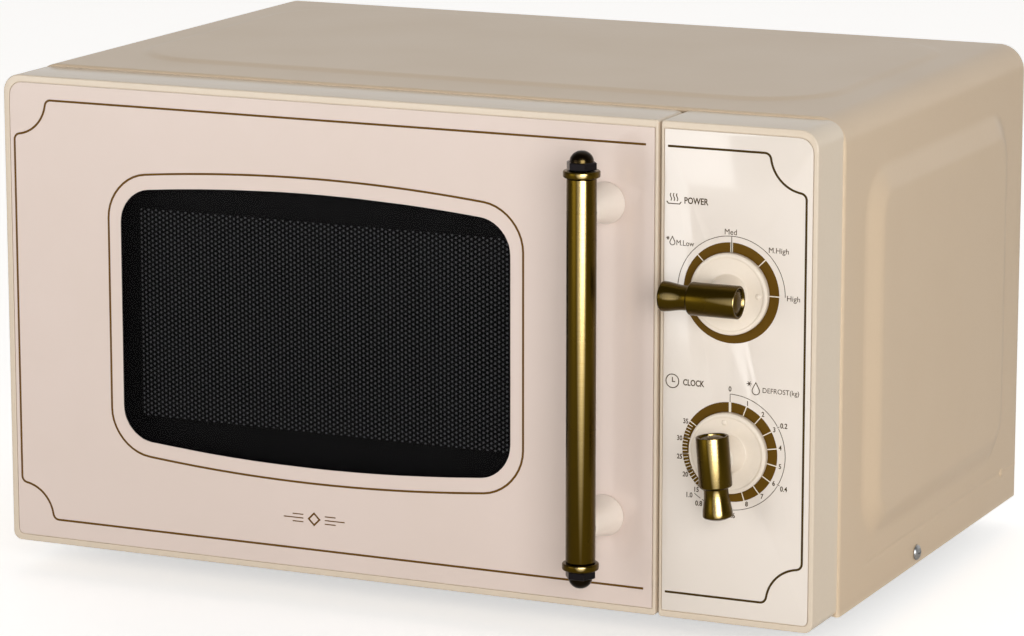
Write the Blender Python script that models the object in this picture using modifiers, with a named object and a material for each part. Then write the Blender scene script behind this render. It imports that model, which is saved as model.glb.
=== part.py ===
"""Countertop microwave oven with a side-hinged door, two rotary dials and a turntable.

Units are metres. X runs along the width, Y from front to back, Z up, and the origin is on the
ground below the middle of the whole oven.
"""

from math import cos, degrees, pi, radians, sin

import bmesh
import bpy
from mathutils import Matrix, Vector

# Overall body
WIDTH = 0.4395  # over the door and the control panel
BODY_HEIGHT = 0.2424  # of the front, without the feet
BODY_DEPTH = 0.3040  # front face to the cabinet's rear edge
FOOT_HEIGHT = 0.0158
HANDLE_REACH = 0.0290  # handle tube's axis in front of the door's face
SHEET = 0.0006  # folded steel
WALL = 0.0025  # moulded plastic
GAP = 0.0003  # between pieces that rest on each other
CLEARANCE = 0.0009  # between the door and the front plate
BEYOND = 0.0100  # how far a cutter runs past what it cuts

# Cabinet sheet
WRAP_PROUD = 0.0012  # sheet outside the front mouldings
WRAP_RADIUS = 0.0130
REAR_FLANGE = 0.0120
SIDE_PAD_MARGIN_FRONT, SIDE_PAD_MARGIN_REAR = 0.0294, 0.0290  # from the sheet's edges
SIDE_PAD_MARGIN_LOW, SIDE_PAD_MARGIN_HIGH = 0.0300, 0.0300
SIDE_PAD_RADIUS, SIDE_PAD_RISE, SIDE_PAD_SLOPE = 0.0250, 0.0050, 0.0120
TOP_PAD_MARGIN_SIDE, TOP_PAD_MARGIN_FRONT, TOP_PAD_MARGIN_REAR = 0.0270, 0.0324, 0.0190
TOP_PAD_RADIUS, TOP_PAD_RISE, TOP_PAD_SLOPE = 0.0450, 0.0012, 0.0050

# Front mouldings
PANEL_WIDTH = 0.0797
DOOR_GAP = 0.0010
DOOR_DEPTH = 0.0330
PLATE = 0.0010  # front plate
CORNER_TOP, CORNER_LOW, CORNER_SHARP = 0.0090, 0.0045, 0.0010
DOOR_CHAMFER = 0.0040  # on the rear side edges, so that the door can swing
WINDOW_LEFT, WINDOW_RIGHT = 0.0663, 0.0767  # margins from the door's sides
WINDOW_LOW, WINDOW_TOP_MARGIN = 0.0605, 0.0551  # at the sides, before the crown
WINDOW_CROWN, WINDOW_RADIUS = 0.0062, 0.0160
GLASS, GLASS_LAP = 0.0020, 0.0080
SCREEN_SETBACK, SCREEN_LAP = 0.0132, 0.0050  # behind the face, and past the cavity's mouth
CHOKE_WIDTH = 0.0100
COVER, COVER_LAP, COVER_LIP = 0.0030, 0.0010, 0.0120

# Oven cavity, as margins from the door's outline
CAVITY_LEFT, CAVITY_RIGHT = 0.0180, 0.0288
CAVITY_LOW, CAVITY_HIGH = 0.0200, 0.0184
CAVITY_BACK = 0.0070  # from the cavity's rear wall to the cabinet's rear edge
MOUTH_RADIUS, DRIVE_HOLE = 0.0060, 0.0080

# Turntable
TRAY_CLEARANCE = 0.0080  # to the nearest cavity wall
TRAY_THICKNESS, TRAY_RIM, TRAY_DISH = 0.0045, 0.0120, 0.0130
ROLLER_RADIUS, ROLLER_WIDTH, ROLLER_EDGE, ROLLER_COUNT = 0.0070, 0.0060, 0.0008, 3
ROLLER_GAP = 0.0020  # between a roller and the ring
RING_INSET = 0.0345  # ring's outer edge inside the tray's edge
RING_WIDTH, RING_THICKNESS = 0.0070, 0.0050
AXLE_RADIUS, AXLE_CLEARANCE, AXLE_CAP = 0.0013, 0.0001, 0.0024
SHAFT_RADIUS, SHAFT_CLEARANCE = 0.0030, 0.0001
COUPLER_RADIUS, COUPLER_HEIGHT = 0.0160, 0.0040
MOTOR_RADIUS, MOTOR_HEIGHT, MOTOR_DROP, MOTOR_FLOOR = 0.0240, 0.0130, 0.0012, 0.0020

# Handle
HANDLE_INSET = 0.0270  # axis from the door's right edge
HANDLE_RADIUS = 0.0074
HANDLE_LOW, HANDLE_HIGH_MARGIN = 0.0310, 0.0251  # tube ends from the door's ends
COLLAR_RADIUS, COLLAR_THICKNESS = 0.0093, 0.0034
NUT_RADIUS, NUT_HEIGHT, DOME_RADIUS, DOME_HEIGHT = 0.0080, 0.0037, 0.0060, 0.0054
POST_INSET = 0.0165  # post axis from the tube's end
POST_BASE_RADIUS, POST_NECK_RADIUS, POST_SWELL = 0.0105, 0.0068, 0.0005

# Hinge and latch
HINGE_INSET = 0.0065  # pin axis from the door's left edge and from its face
PIN_RADIUS, PIN_CLEARANCE, PIN_LENGTH = 0.0020, 0.00015, 0.0110
HINGE_ARM, HINGE_ARM_HALF = 0.0015, 0.0036  # thickness and half width
HINGE_LEVEL = 0.0010  # clear of the door's round corner
HINGE_LEAN = radians(15)
HINGE_TAB = 0.0140
BOSS_HEIGHT, BOSS_GAP, BOSS_WALL = 0.0130, 0.0009, 0.0045
LATCH_INSET = 0.0136  # hook middle from the door's right edge
HOOK_THICKNESS, HOOK_HEIGHT, HOOK_REACH, HOOK_MARGIN = 0.0040, 0.0100, 0.0180, 0.0450
HOOK_PLAY, HOOK_SWING = 0.0010, 0.0035  # room beside a hook at rest, and as the door swings
LATCH_TRAVEL, LATCH_HALF, LATCH_DEPTH, LATCH_END = 0.0050, 0.0040, 0.0100, 0.0060
SPRING_RADIUS, SPRING_WIRE, SPRING_TURNS = 0.0030, 0.0005, 6

# Dials
KNOB_SHIFT = 0.00325  # shaft axis left of the panel's middle
POWER_KNOB_DROP, TIMER_KNOB_RISE = 0.0802, 0.0850  # from the top and from the bottom
DISC_RADIUS, DISC_THICKNESS, DISC_RIM = 0.0197, 0.0042, 0.0024
CONE_RADIUS, CONE_TIP_RADIUS = 0.0100, 0.0060
LEVER_REACH, LEVER_RADIUS = 0.0200, 0.0079  # lever's axis in front of the face
LEVER_NOSE, LEVER_TAIL, LEVER_SHOULDER = 0.0120, 0.0290, 0.0035  # from the shaft
LEVER_WAIST, LEVER_FLARE = 0.76, 0.90  # shares of the lever's radius
TIMER_HALF, TIMER_DEPTH, TIMER_SEAT = 0.0230, 0.0320, 0.0030

# Fixings
SCREW_HEAD_RADIUS, SCREW_HEAD, SCREW_RADIUS, SCREW_HOLE = 0.0038, 0.0020, 0.0017, 0.0021
SCREW_LENGTH = 0.0060
SIDE_SCREW_DEPTH, SIDE_SCREW_RISE = 0.1445, 0.0062
FOOT_RADIUS, FOOT_TIP_RADIUS = 0.0120, 0.0095
FOOT_INSET_SIDE, FOOT_INSET_FRONT, FOOT_INSET_REAR = 0.0600, 0.0800, 0.0350
BASE_FLANGE = 0.0110
HOLE_SIDES = 12

# Cord outlet and vents
GLAND_RADIUS, GLAND_BORE, GLAND_RIM = 0.0060, 0.0036, 0.0020
GLAND_RISE, GLAND_INSET = 0.0300, 0.0350
SLOT_HEIGHT, SLOT_PITCH = 0.0040, 0.0085
FAN_SLOTS, FAN_SLOT_LENGTH = 8, 0.0600
STEAM_SLOTS, STEAM_SLOT_LENGTH, STEAM_DROP = 4, 0.1000, 0.0500

# Electrical bay
WAVEGUIDE_SETBACK, WAVEGUIDE_DROP = 0.1000, 0.0700  # port's middle from the mouth and the cavity's top
WAVEGUIDE_SIZE = (0.0220, 0.0900, 0.0800)
PORT_WIDTH, PORT_HEIGHT, PORT_LAP, MICA_THICKNESS = 0.0700, 0.0400, 0.0100, 0.0005
MAGNETRON_SIZE = (0.0580, 0.0800, 0.0760)
ANTENNA_RADIUS, ANTENNA_LENGTH = 0.0075, 0.0140
FINS, FIN_PITCH, FIN_SLOT, FIN_DEPTH = 6, 0.0120, 0.0080, 0.0280
LAMP_SETBACK, LAMP_DROP, LAMP_PORT, LAMP_LENGTH = 0.0550, 0.0300, 0.0100, 0.0240
CORE_SIZE, CORE_SETBACK = (0.0820, 0.0520, 0.0620), 0.0780  # size, and middle from the mouth
CORE_LEG, CORE_YOKE = 0.0120, 0.0120
WINDING_REACH = 0.0140  # winding beyond the core's faces
CAN_SIZE, CAN_SETBACK = (0.0520, 0.0320, 0.0720), 0.0520
FAN_RISE = 0.0220  # fan axis above the oven's middle
SHROUD_HALF, SHROUD_THICKNESS, SHROUD_HOLE = 0.0480, 0.0030, 0.0420
SHROUD_SETBACK, SHROUD_MARGIN = 0.0200, 0.0040
FAN_HUB, FAN_HUB_LENGTH, FAN_RADIUS, FAN_CHORD, FAN_BLADES = 0.0110, 0.0160, 0.0390, 0.0220, 5
FAN_PITCH = radians(55)
FAN_MOTOR, FAN_MOTOR_DEPTH, FAN_SHAFT, ARM_WIDTH = 0.0220, 0.0240, 0.0015, 0.0030
SWITCH_SIZE = (0.0100, 0.0180, 0.0280)
BOARD_THICKNESS, BOARD_DEPTH = 0.0020, 0.0360
FILTER_SIZE, FILTER_RISE, FILTER_INSET = (0.0700, 0.0520, 0.0016), 0.0080, 0.01945

# Derived places
FACE = (COLLAR_RADIUS + HANDLE_REACH - BODY_DEPTH - GAP - SCREW_HEAD) / 2  # door's and panel's face
BACK = FACE + BODY_DEPTH
LEFT, RIGHT = -WIDTH / 2, WIDTH / 2
BASE = FOOT_HEIGHT
TOP = BASE + BODY_HEIGHT
DOOR_RIGHT = RIGHT - PANEL_WIDTH - DOOR_GAP
PANEL_LEFT = RIGHT - PANEL_WIDTH
DOOR_REAR = FACE + DOOR_DEPTH
WRAP_FRONT = DOOR_REAR + 2 * GAP
PLATE_FRONT = DOOR_REAR + CLEARANCE
PLATE_REAR = PLATE_FRONT + PLATE
WRAP_HALF = WIDTH / 2 + WRAP_PROUD
WRAP_TOP = TOP + WRAP_PROUD
INNER_HALF = WRAP_HALF - SHEET - GAP  # for what sits inside the sheet
INNER_TOP = WRAP_TOP - SHEET - GAP
CAVITY_X0, CAVITY_X1 = LEFT + CAVITY_LEFT, DOOR_RIGHT - CAVITY_RIGHT
CAVITY_Z0, CAVITY_Z1 = BASE + CAVITY_LOW, TOP - CAVITY_HIGH
CAVITY_Y0, CAVITY_Y1 = PLATE_REAR + GAP, BACK - CAVITY_BACK
TRAY_X, TRAY_Y = (CAVITY_X0 + CAVITY_X1) / 2, (CAVITY_Y0 + CAVITY_Y1) / 2
TRAY_RADIUS = min(CAVITY_X1 - CAVITY_X0, CAVITY_Y1 - CAVITY_Y0) / 2 - TRAY_CLEARANCE
RING_RADIUS = TRAY_RADIUS - RING_INSET
ROLLER_Z = CAVITY_Z0 + GAP + ROLLER_RADIUS
TRAY_Z = ROLLER_Z + ROLLER_RADIUS + GAP
HANDLE_X, HANDLE_Y = DOOR_RIGHT - HANDLE_INSET, FACE - HANDLE_REACH
HANDLE_Z0, HANDLE_Z1 = BASE + HANDLE_LOW, TOP - HANDLE_HIGH_MARGIN
HINGE_X, HINGE_Y = LEFT + HINGE_INSET, FACE + HINGE_INSET
KNOB_X = (PANEL_LEFT + RIGHT) / 2 - KNOB_SHIFT
POWER_Z, TIMER_Z = TOP - POWER_KNOB_DROP, BASE + TIMER_KNOB_RISE
LATCH_X = DOOR_RIGHT - LATCH_INSET
LATCH_Z0, LATCH_Z1 = BASE + HOOK_MARGIN, TOP - HOOK_MARGIN - HOOK_HEIGHT
BAY_X0, BAY_X1 = CAVITY_X1 + SHEET + GAP, INNER_HALF  # electrical bay right of the cavity
BACK_PLATE_FRONT = BACK - 2 * SHEET - GAP
MOTOR_Z = CAVITY_Z0 - SHEET - MOTOR_DROP - MOTOR_HEIGHT
GUIDE_Y, GUIDE_Z = CAVITY_Y0 + WAVEGUIDE_SETBACK, CAVITY_Z1 - WAVEGUIDE_DROP
LAMP_Y, LAMP_Z = CAVITY_Y1 - LAMP_SETBACK, CAVITY_Z1 - LAMP_DROP
SHROUD_Y = BACK_PLATE_FRONT - SHROUD_SETBACK
FAN_X, FAN_Y, FAN_Z = (BAY_X0 + BAY_X1) / 2, SHROUD_Y + SHROUD_THICKNESS / 2, (BASE + TOP) / 2 + FAN_RISE
GLAND_X, GLAND_Z = INNER_HALF - GLAND_INSET, BASE + GLAND_RISE
HINGE_DROP = CORNER_TOP + HINGE_LEVEL
HINGES = (  # name, underside of the arm, and which way its pin points
    ("lower", BASE + HINGE_DROP, 1),
    ("upper", TOP - HINGE_DROP - HINGE_ARM, -1),
)


def reset():
    """Empty the scene and make the two collections."""
    for obj in list(bpy.data.objects):
        bpy.data.objects.remove(obj, do_unlink=True)
    made = []
    for name in ("microwave_oven", "cutters"):
        group = bpy.data.collections.new(name)
        bpy.context.scene.collection.children.link(group)
        made.append(group)
    return made


PARTS, CUTTERS = reset()


def finish(name, rgb, roughness, metallic=0.0, alpha=1.0):
    """A Principled material."""
    made = bpy.data.materials.new(name)
    made.use_nodes = True
    shader = made.node_tree.nodes["Principled BSDF"]
    shader.inputs["Base Color"].default_value = (*rgb, 1.0)
    shader.inputs["Roughness"].default_value = roughness
    shader.inputs["Metallic"].default_value = metallic
    shader.inputs["Alpha"].default_value = alpha
    return made


CREAM = finish("cream_abs", (0.78, 0.67, 0.58), 0.25)
CREAM_PANEL = finish("cream_panel_abs", (0.82, 0.72, 0.61), 0.3)
PAINTED = finish("beige_painted_steel", (0.62, 0.51, 0.39), 0.3)
ENAMEL = finish("cavity_enamel", (0.72, 0.70, 0.66), 0.35)
GREY_PAINT = finish("front_plate_paint", (0.70, 0.62, 0.52), 0.35)
BRASS = finish("antique_brass", (0.30, 0.21, 0.06), 0.3, 1.0)
DARK_BRASS = finish("dark_brass", (0.07, 0.05, 0.03), 0.35, 1.0)
BLACK_GLASS = finish("smoked_glass", (0.01, 0.01, 0.01), 0.05, alpha=0.6)
CLEAR_GLASS = finish("clear_glass", (0.85, 0.92, 0.90), 0.05, alpha=0.35)
BLACK_STEEL = finish("black_enamelled_steel", (0.02, 0.02, 0.02), 0.4)
BARE_STEEL = finish("zinc_plated_steel", (0.55, 0.55, 0.56), 0.35, 1.0)
ALUMINIUM = finish("aluminium", (0.75, 0.75, 0.76), 0.35, 1.0)
COPPER = finish("lacquered_copper", (0.55, 0.20, 0.07), 0.35, 1.0)
WHITE_PLASTIC = finish("white_nylon", (0.80, 0.80, 0.78), 0.45)
BLACK_PLASTIC = finish("black_nylon", (0.03, 0.03, 0.03), 0.5)
MICA = finish("mica", (0.45, 0.38, 0.28), 0.6)
RUBBER = finish("black_rubber", (0.02, 0.02, 0.02), 0.8)


def keep(obj, material=None):
    """Put an object among the parts, with its material."""
    PARTS.objects.link(obj)
    if material:
        obj.data.materials.clear()
        obj.data.materials.append(material)
        obj.data.shade_smooth()
        obj.data.set_sharp_from_angle(angle=radians(35))
    return obj


def mesh_object(name, bm):
    """An unlinked object from a bmesh."""
    mesh = bpy.data.meshes.new(name)
    bm.to_mesh(mesh)
    bm.free()
    return bpy.data.objects.new(name, mesh)


def box(name, low, high):
    """A box between two corners."""
    bm = bmesh.new()
    bmesh.ops.create_cube(bm, size=1)
    size = [h - l for l, h in zip(low, high)]
    middle = [(h + l) / 2 for l, h in zip(low, high)]
    bmesh.ops.scale(bm, vec=size, verts=bm.verts)
    bmesh.ops.translate(bm, vec=middle, verts=bm.verts)
    return mesh_object(name, bm)


def rod(name, radius, start, end, sides=16, end_radius=None):
    """A cylinder or cone between two points."""
    start, end = Vector(start), Vector(end)
    bm = bmesh.new()
    bmesh.ops.create_cone(
        bm, cap_ends=True, segments=sides, depth=(end - start).length,
        radius1=radius, radius2=radius if end_radius is None else end_radius,
    )
    turn = Vector((0, 0, 1)).rotation_difference(end - start).to_matrix().to_4x4()
    bmesh.ops.transform(bm, matrix=Matrix.Translation((start + end) / 2) @ turn, verts=bm.verts)
    return mesh_object(name, bm)


def slab(name, outline, low, high, turn):
    """A flat outline given thickness; turn carries its (u, v, thickness) to (x, y, z)."""
    curve = bpy.data.curves.new(name, "CURVE")
    curve.dimensions, curve.fill_mode, curve.extrude = "2D", "BOTH", (high - low) / 2
    spline = curve.splines.new("POLY")
    spline.points.add(len(outline) - 1)
    spline.use_cyclic_u = True
    for point, (u, v) in zip(spline.points, outline):
        point.co = (u, v, 0, 1)
    flat = bpy.data.objects.new(name, curve)
    bpy.context.scene.collection.objects.link(flat)
    bpy.context.view_layer.update()
    mesh = bpy.data.meshes.new_from_object(flat.evaluated_get(bpy.context.evaluated_depsgraph_get()))
    bpy.data.objects.remove(flat)
    bpy.data.curves.remove(curve)
    bm = bmesh.new()
    bm.from_mesh(mesh)
    bpy.data.meshes.remove(mesh)
    bmesh.ops.remove_doubles(bm, verts=bm.verts, dist=1e-6)
    bmesh.ops.translate(bm, vec=(0, 0, (low + high) / 2), verts=bm.verts)
    bmesh.ops.transform(bm, matrix=turn, verts=bm.verts)
    bmesh.ops.recalc_face_normals(bm, faces=bm.faces)
    return mesh_object(name, bm)


FACING_FRONT = Matrix(((1, 0, 0, 0), (0, 0, 1, 0), (0, 1, 0, 0), (0, 0, 0, 1)))
FACING_UP = Matrix.Identity(4)
FACING_SIDE = Matrix(((0, 0, 1, 0), (1, 0, 0, 0), (0, 1, 0, 0), (0, 0, 0, 1)))


def front_slab(name, outline, low, high):
    """An outline in X and Z, thick along Y."""
    return slab(name, outline, low, high, FACING_FRONT)


def flat_slab(name, outline, low, high):
    """An outline in X and Y, thick along Z."""
    return slab(name, outline, low, high, FACING_UP)


def side_slab(name, outline, low, high):
    """An outline in Y and Z, thick along X."""
    return slab(name, outline, low, high, FACING_SIDE)


def arc(centre, radius, start, end, steps):
    """Points on an arc, in degrees."""
    angles = [radians(start + (end - start) * i / steps) for i in range(steps + 1)]
    return [(centre[0] + radius * cos(a), centre[1] + radius * sin(a)) for a in angles]


def rounded(u0, v0, u1, v1, radii, steps=5):
    """A rectangle's outline; radii run from the low left corner anticlockwise, 0 for a sharp one."""
    corners = [(u0, v0, 1, 1, 180), (u1, v0, -1, 1, 270), (u1, v1, -1, -1, 0), (u0, v1, 1, -1, 90)]
    points = []
    for (u, v, su, sv, start), radius in zip(corners, radii):
        if radius:
            centre = (u + su * radius, v + sv * radius)
            points += arc(centre, radius, start, start + 90, steps)
        else:
            points.append((u, v))
    return points


def crowned(u0, v0, u1, v1, radius, crown, steps=5, spans=8):
    """A rounded rectangle whose top and bottom bow outwards by crown."""
    middle, half_u = ((u0 + u1) / 2, (v0 + v1) / 2), (u1 - u0) / 2
    half_v = (v1 - v0) / 2
    base = []
    straight = rounded(u0, v0, u1, v1, [radius] * 4, steps)
    for here, there in zip(straight, straight[1:] + straight[:1]):
        level = abs(here[1] - there[1]) < 1e-9
        pieces = spans if level and abs(here[0] - there[0]) > half_u else 1
        for i in range(pieces):
            base.append([a + (b - a) * i / pieces for a, b in zip(here, there)])
    return [
        (u, v + crown * (1 - ((u - middle[0]) / half_u) ** 2) * (v - middle[1]) / half_v)
        for u, v in base
    ]


def turned(name, profile, at, axis, steps=24):
    """A profile of (radius, height), top to bottom, turned about an axis through a point."""
    bm = bmesh.new()
    points = [bm.verts.new((radius, 0, height)) for radius, height in profile]
    for upper, lower in zip(points, points[1:]):
        bm.edges.new((upper, lower))
    obj = mesh_object(name, bm)
    screw = obj.modifiers.new("turn", "SCREW")
    screw.axis, screw.angle, screw.use_merge_vertices, screw.merge_threshold = "Z", 2 * pi, True, 1e-6
    screw.steps = screw.render_steps = steps
    obj.location = at
    obj.rotation_mode = "QUATERNION"
    obj.rotation_quaternion = Vector((0, 0, 1)).rotation_difference(Vector(axis))
    return obj


def shape(obj, operation, tools):
    """Boolean modifiers on an object; each tool becomes a hidden cutter."""
    for tool in tools:
        CUTTERS.objects.link(tool)
        tool.hide_render, tool.display_type = True, "WIRE"
        step = obj.modifiers.new(operation.lower(), "BOOLEAN")
        step.operation, step.solver, step.object = operation, "EXACT", tool
    return obj


def cut(obj, *tools):
    """Cut the tools out of an object."""
    return shape(obj, "DIFFERENCE", tools)


def join(obj, *tools):
    """Add the tools to an object."""
    return shape(obj, "UNION", tools)


def hang(name, at, objects):
    """A parent empty on a joint's axis that carries the objects."""
    pivot = bpy.data.objects.new(name, None)
    pivot.location = at
    PARTS.objects.link(pivot)
    for obj in objects:
        obj.parent = pivot
        obj.matrix_parent_inverse = Matrix.Translation(-Vector(at))


# Cabinet sheet


def wrap_outline(half, top, low, radius):
    """The cabinet's section, square below and rounded above."""
    return rounded(-half, low, half, top, (0, 0, radius, radius), steps=6)


def pad(name, outline, inner, outer, rise, slope, turn):
    """A raised field with sloping edges on a sheet's outer side."""
    obj = slab(name, outline, min(inner, outer), max(inner, outer), turn)
    bm = bmesh.new()
    bm.from_mesh(obj.data)
    bmesh.ops.dissolve_limit(bm, angle_limit=radians(1), verts=bm.verts, edges=bm.edges)
    away = (turn.to_3x3() @ Vector((0, 0, 1))) * (1 if outer > inner else -1)
    outermost = max(bm.faces, key=lambda face: face.normal.dot(away))
    bmesh.ops.inset_individual(bm, faces=[outermost], thickness=slope, depth=rise)
    bm.to_mesh(obj.data)
    bm.free()
    return obj


def pads(step):
    """The two side fields and the top one, step inside their outer surfaces."""
    side = rounded(WRAP_FRONT + SIDE_PAD_MARGIN_FRONT, BASE + SIDE_PAD_MARGIN_LOW,
                   BACK - SIDE_PAD_MARGIN_REAR, WRAP_TOP - SIDE_PAD_MARGIN_HIGH, [SIDE_PAD_RADIUS] * 4)
    half = WRAP_HALF - TOP_PAD_MARGIN_SIDE
    top = rounded(-half, WRAP_FRONT + TOP_PAD_MARGIN_FRONT, half, BACK - TOP_PAD_MARGIN_REAR,
                  [TOP_PAD_RADIUS] * 4)
    root = SHEET / 2  # how far a field's foot reaches into the sheet
    out, up = WRAP_HALF - step, WRAP_TOP - step
    fields = [pad(f"side_field_{side_sign}", side, side_sign * (out - root), side_sign * out,
                  SIDE_PAD_RISE, SIDE_PAD_SLOPE, FACING_SIDE) for side_sign in (-1, 1)]
    return [*fields, pad("top_field", top, up - root, up, TOP_PAD_RISE, TOP_PAD_SLOPE, FACING_UP)]


REAR_SCREWS = [
    (-INNER_HALF * 0.7, WRAP_TOP - REAR_FLANGE / 2),
    (INNER_HALF * 0.7, WRAP_TOP - REAR_FLANGE / 2),
    (WRAP_HALF - REAR_FLANGE / 2, BASE + SIDE_PAD_MARGIN_LOW),
]
SIDE_SCREW_Y, SIDE_SCREW_Z = FACE + SIDE_SCREW_DEPTH, BASE + SIDE_SCREW_RISE


def rear_screw_holes():
    """Clearance holes for the screws of the rear flange."""
    return [rod("rear_screw_hole", SCREW_HOLE, (x, BACK - BEYOND, z), (x, BACK + BEYOND, z), HOLE_SIDES)
            for x, z in REAR_SCREWS]


def side_screw_holes():
    """Clearance holes for the two screws at the foot of the sides."""
    return [rod("side_screw_hole", SCREW_HOLE,
                (side * (WRAP_HALF - BEYOND), SIDE_SCREW_Y, SIDE_SCREW_Z),
                (side * (WRAP_HALF + BEYOND), SIDE_SCREW_Y, SIDE_SCREW_Z), HOLE_SIDES)
            for side in (-1, 1)]


def cabinet():
    """The folded outer sheet, its screws and the back plate."""
    outline = wrap_outline(WRAP_HALF, WRAP_TOP, BASE, WRAP_RADIUS)
    wrap = keep(front_slab("cabinet_wrap", outline, WRAP_FRONT, BACK), PAINTED)
    join(wrap, *pads(0))
    inner = wrap_outline(WRAP_HALF - SHEET, WRAP_TOP - SHEET, BASE - BEYOND, WRAP_RADIUS - SHEET)
    room = front_slab("wrap_room", inner, WRAP_FRONT - BEYOND, BACK - SHEET)
    window = wrap_outline(WRAP_HALF - REAR_FLANGE, WRAP_TOP - REAR_FLANGE, BASE - BEYOND, SHEET)
    opening = front_slab("wrap_rear_window", window, BACK - BEYOND, BACK + BEYOND)
    cut(wrap, *rear_screw_holes(), *side_screw_holes(), room, *pads(SHEET), opening)

    outline = wrap_outline(INNER_HALF, INNER_TOP, BASE, WRAP_RADIUS - SHEET - GAP)
    plate = keep(front_slab("back_plate", outline, BACK_PLATE_FRONT, BACK - SHEET - GAP), BARE_STEEL)
    cut(plate, *rear_screw_holes(), *vents(), cord_hole())
    for i, (x, z) in enumerate(REAR_SCREWS):
        fixing(f"rear_screw_{i + 1}", (x, BACK, z), (0, 1, 0))
    for side, word in ((-1, "left"), (1, "right")):
        fixing(f"side_screw_{word}", (side * WRAP_HALF, SIDE_SCREW_Y, SIDE_SCREW_Z), (side, 0, 0))


def vents():
    """The cutters for the back plate's fan and steam slots."""
    groups = (
        (FAN_X, FAN_Z, FAN_SLOTS, FAN_SLOT_LENGTH),
        (TRAY_X, CAVITY_Z1 - STEAM_DROP, STEAM_SLOTS, STEAM_SLOT_LENGTH),
    )
    slots = []
    for x, z, count, length in groups:
        for i in range(count):
            level = z + (i - (count - 1) / 2) * SLOT_PITCH
            slots.append(box("vent_slot", (x - length / 2, BACK - BEYOND, level - SLOT_HEIGHT / 2),
                             (x + length / 2, BACK + BEYOND, level + SLOT_HEIGHT / 2)))
    return slots


def fixing(name, at, out):
    """A pan-head screw standing on a surface."""
    head, shoulder = SCREW_HEAD_RADIUS, SCREW_HEAD * 0.85
    profile = [(0, SCREW_HEAD + GAP), (head * 0.7, shoulder + GAP), (head, GAP), (SCREW_RADIUS, GAP),
               (SCREW_RADIUS, -SCREW_LENGTH), (0, -SCREW_LENGTH)]
    return keep(turned(name, profile, at, out, steps=HOLE_SIDES), BARE_STEEL)


def cord_hole():
    """The cutter for the bush's hole in the back plate."""
    return rod("cord_hole", GLAND_RADIUS + GAP, (GLAND_X, BACK - BEYOND, GLAND_Z),
               (GLAND_X, BACK + BEYOND, GLAND_Z), 20)


def cord_gland():
    """The bush in the back plate that the mains lead would come through."""
    rim = GLAND_RADIUS + GLAND_RIM
    outer, seat, inner = SHEET + GAP, GAP, -SHEET - 3 * GAP
    profile = [(GLAND_BORE, outer), (rim, outer), (rim, seat), (GLAND_RADIUS, seat),
               (GLAND_RADIUS, inner), (GLAND_BORE, inner), (GLAND_BORE, outer)]
    at = (GLAND_X, BACK - SHEET - GAP, GLAND_Z)
    keep(turned("cord_gland", profile, at, (0, 1, 0), steps=20), BLACK_PLASTIC)


# Chassis


def base_plate():
    """The bottom pan with its two side flanges."""
    rear = BACK_PLATE_FRONT - GAP
    pan = box("base_plate", (-INNER_HALF, CAVITY_Y0, BASE), (INNER_HALF, rear, BASE + BASE_FLANGE))
    hollow = box("base_hollow", (SHEET - INNER_HALF, CAVITY_Y0 - BEYOND, BASE + SHEET),
                 (INNER_HALF - SHEET, rear + BEYOND, BASE + BASE_FLANGE + BEYOND))
    cut(keep(pan, BARE_STEEL), hollow, *side_screw_holes())


def front_plate():
    """The painted plate around the cavity's mouth, with latch slots and hinge slots."""
    outline = wrap_outline(INNER_HALF, INNER_TOP, BASE, WRAP_RADIUS - SHEET - GAP)
    plate = keep(front_slab("front_plate", outline, PLATE_FRONT, PLATE_REAR), GREY_PAINT)
    front, rear = PLATE_FRONT - BEYOND, PLATE_REAR + BEYOND
    mouth = rounded(CAVITY_X0, CAVITY_Z0, CAVITY_X1, CAVITY_Z1, [MOUTH_RADIUS] * 4, steps=3)
    reach = TIMER_HALF + 0.005
    opening = rounded(KNOB_X - reach, TIMER_Z - reach, KNOB_X + reach, POWER_Z + reach,
                      [MOUTH_RADIUS] * 4, steps=2)
    cut(plate, front_slab("mouth", mouth, front, rear), front_slab("timer_opening", opening, front, rear))
    for z in (LATCH_Z0, LATCH_Z1):
        cut(plate, box("latch_slot", (LATCH_X - HOOK_THICKNESS / 2 - HOOK_PLAY, front, z - HOOK_PLAY),
                       (LATCH_X + HOOK_THICKNESS / 2 + HOOK_SWING, rear,
                        z + HOOK_HEIGHT + LATCH_TRAVEL + HOOK_PLAY)))
    for _, z, _ in HINGES:
        cut(plate, box("hinge_slot", (HINGE_X + HINGE_ARM_HALF / 2, front, z - GAP),
                       (CAVITY_X0 + HINGE_ARM_HALF, rear, z + HINGE_ARM + GAP)))


def feet():
    """Four moulded feet."""
    profile = [(0, FOOT_HEIGHT - GAP), (FOOT_RADIUS, FOOT_HEIGHT - GAP),
               (FOOT_RADIUS, FOOT_HEIGHT * 0.8), (FOOT_TIP_RADIUS, 0), (0, 0)]
    for row, y in (("front", FACE + FOOT_INSET_FRONT), ("rear", BACK - FOOT_INSET_REAR)):
        for side, word in ((-1, "left"), (1, "right")):
            at = (side * (WIDTH / 2 - FOOT_INSET_SIDE), y, 0)
            keep(turned(f"foot_{row}_{word}", profile, at, (0, 0, 1), steps=20), RUBBER)


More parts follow.
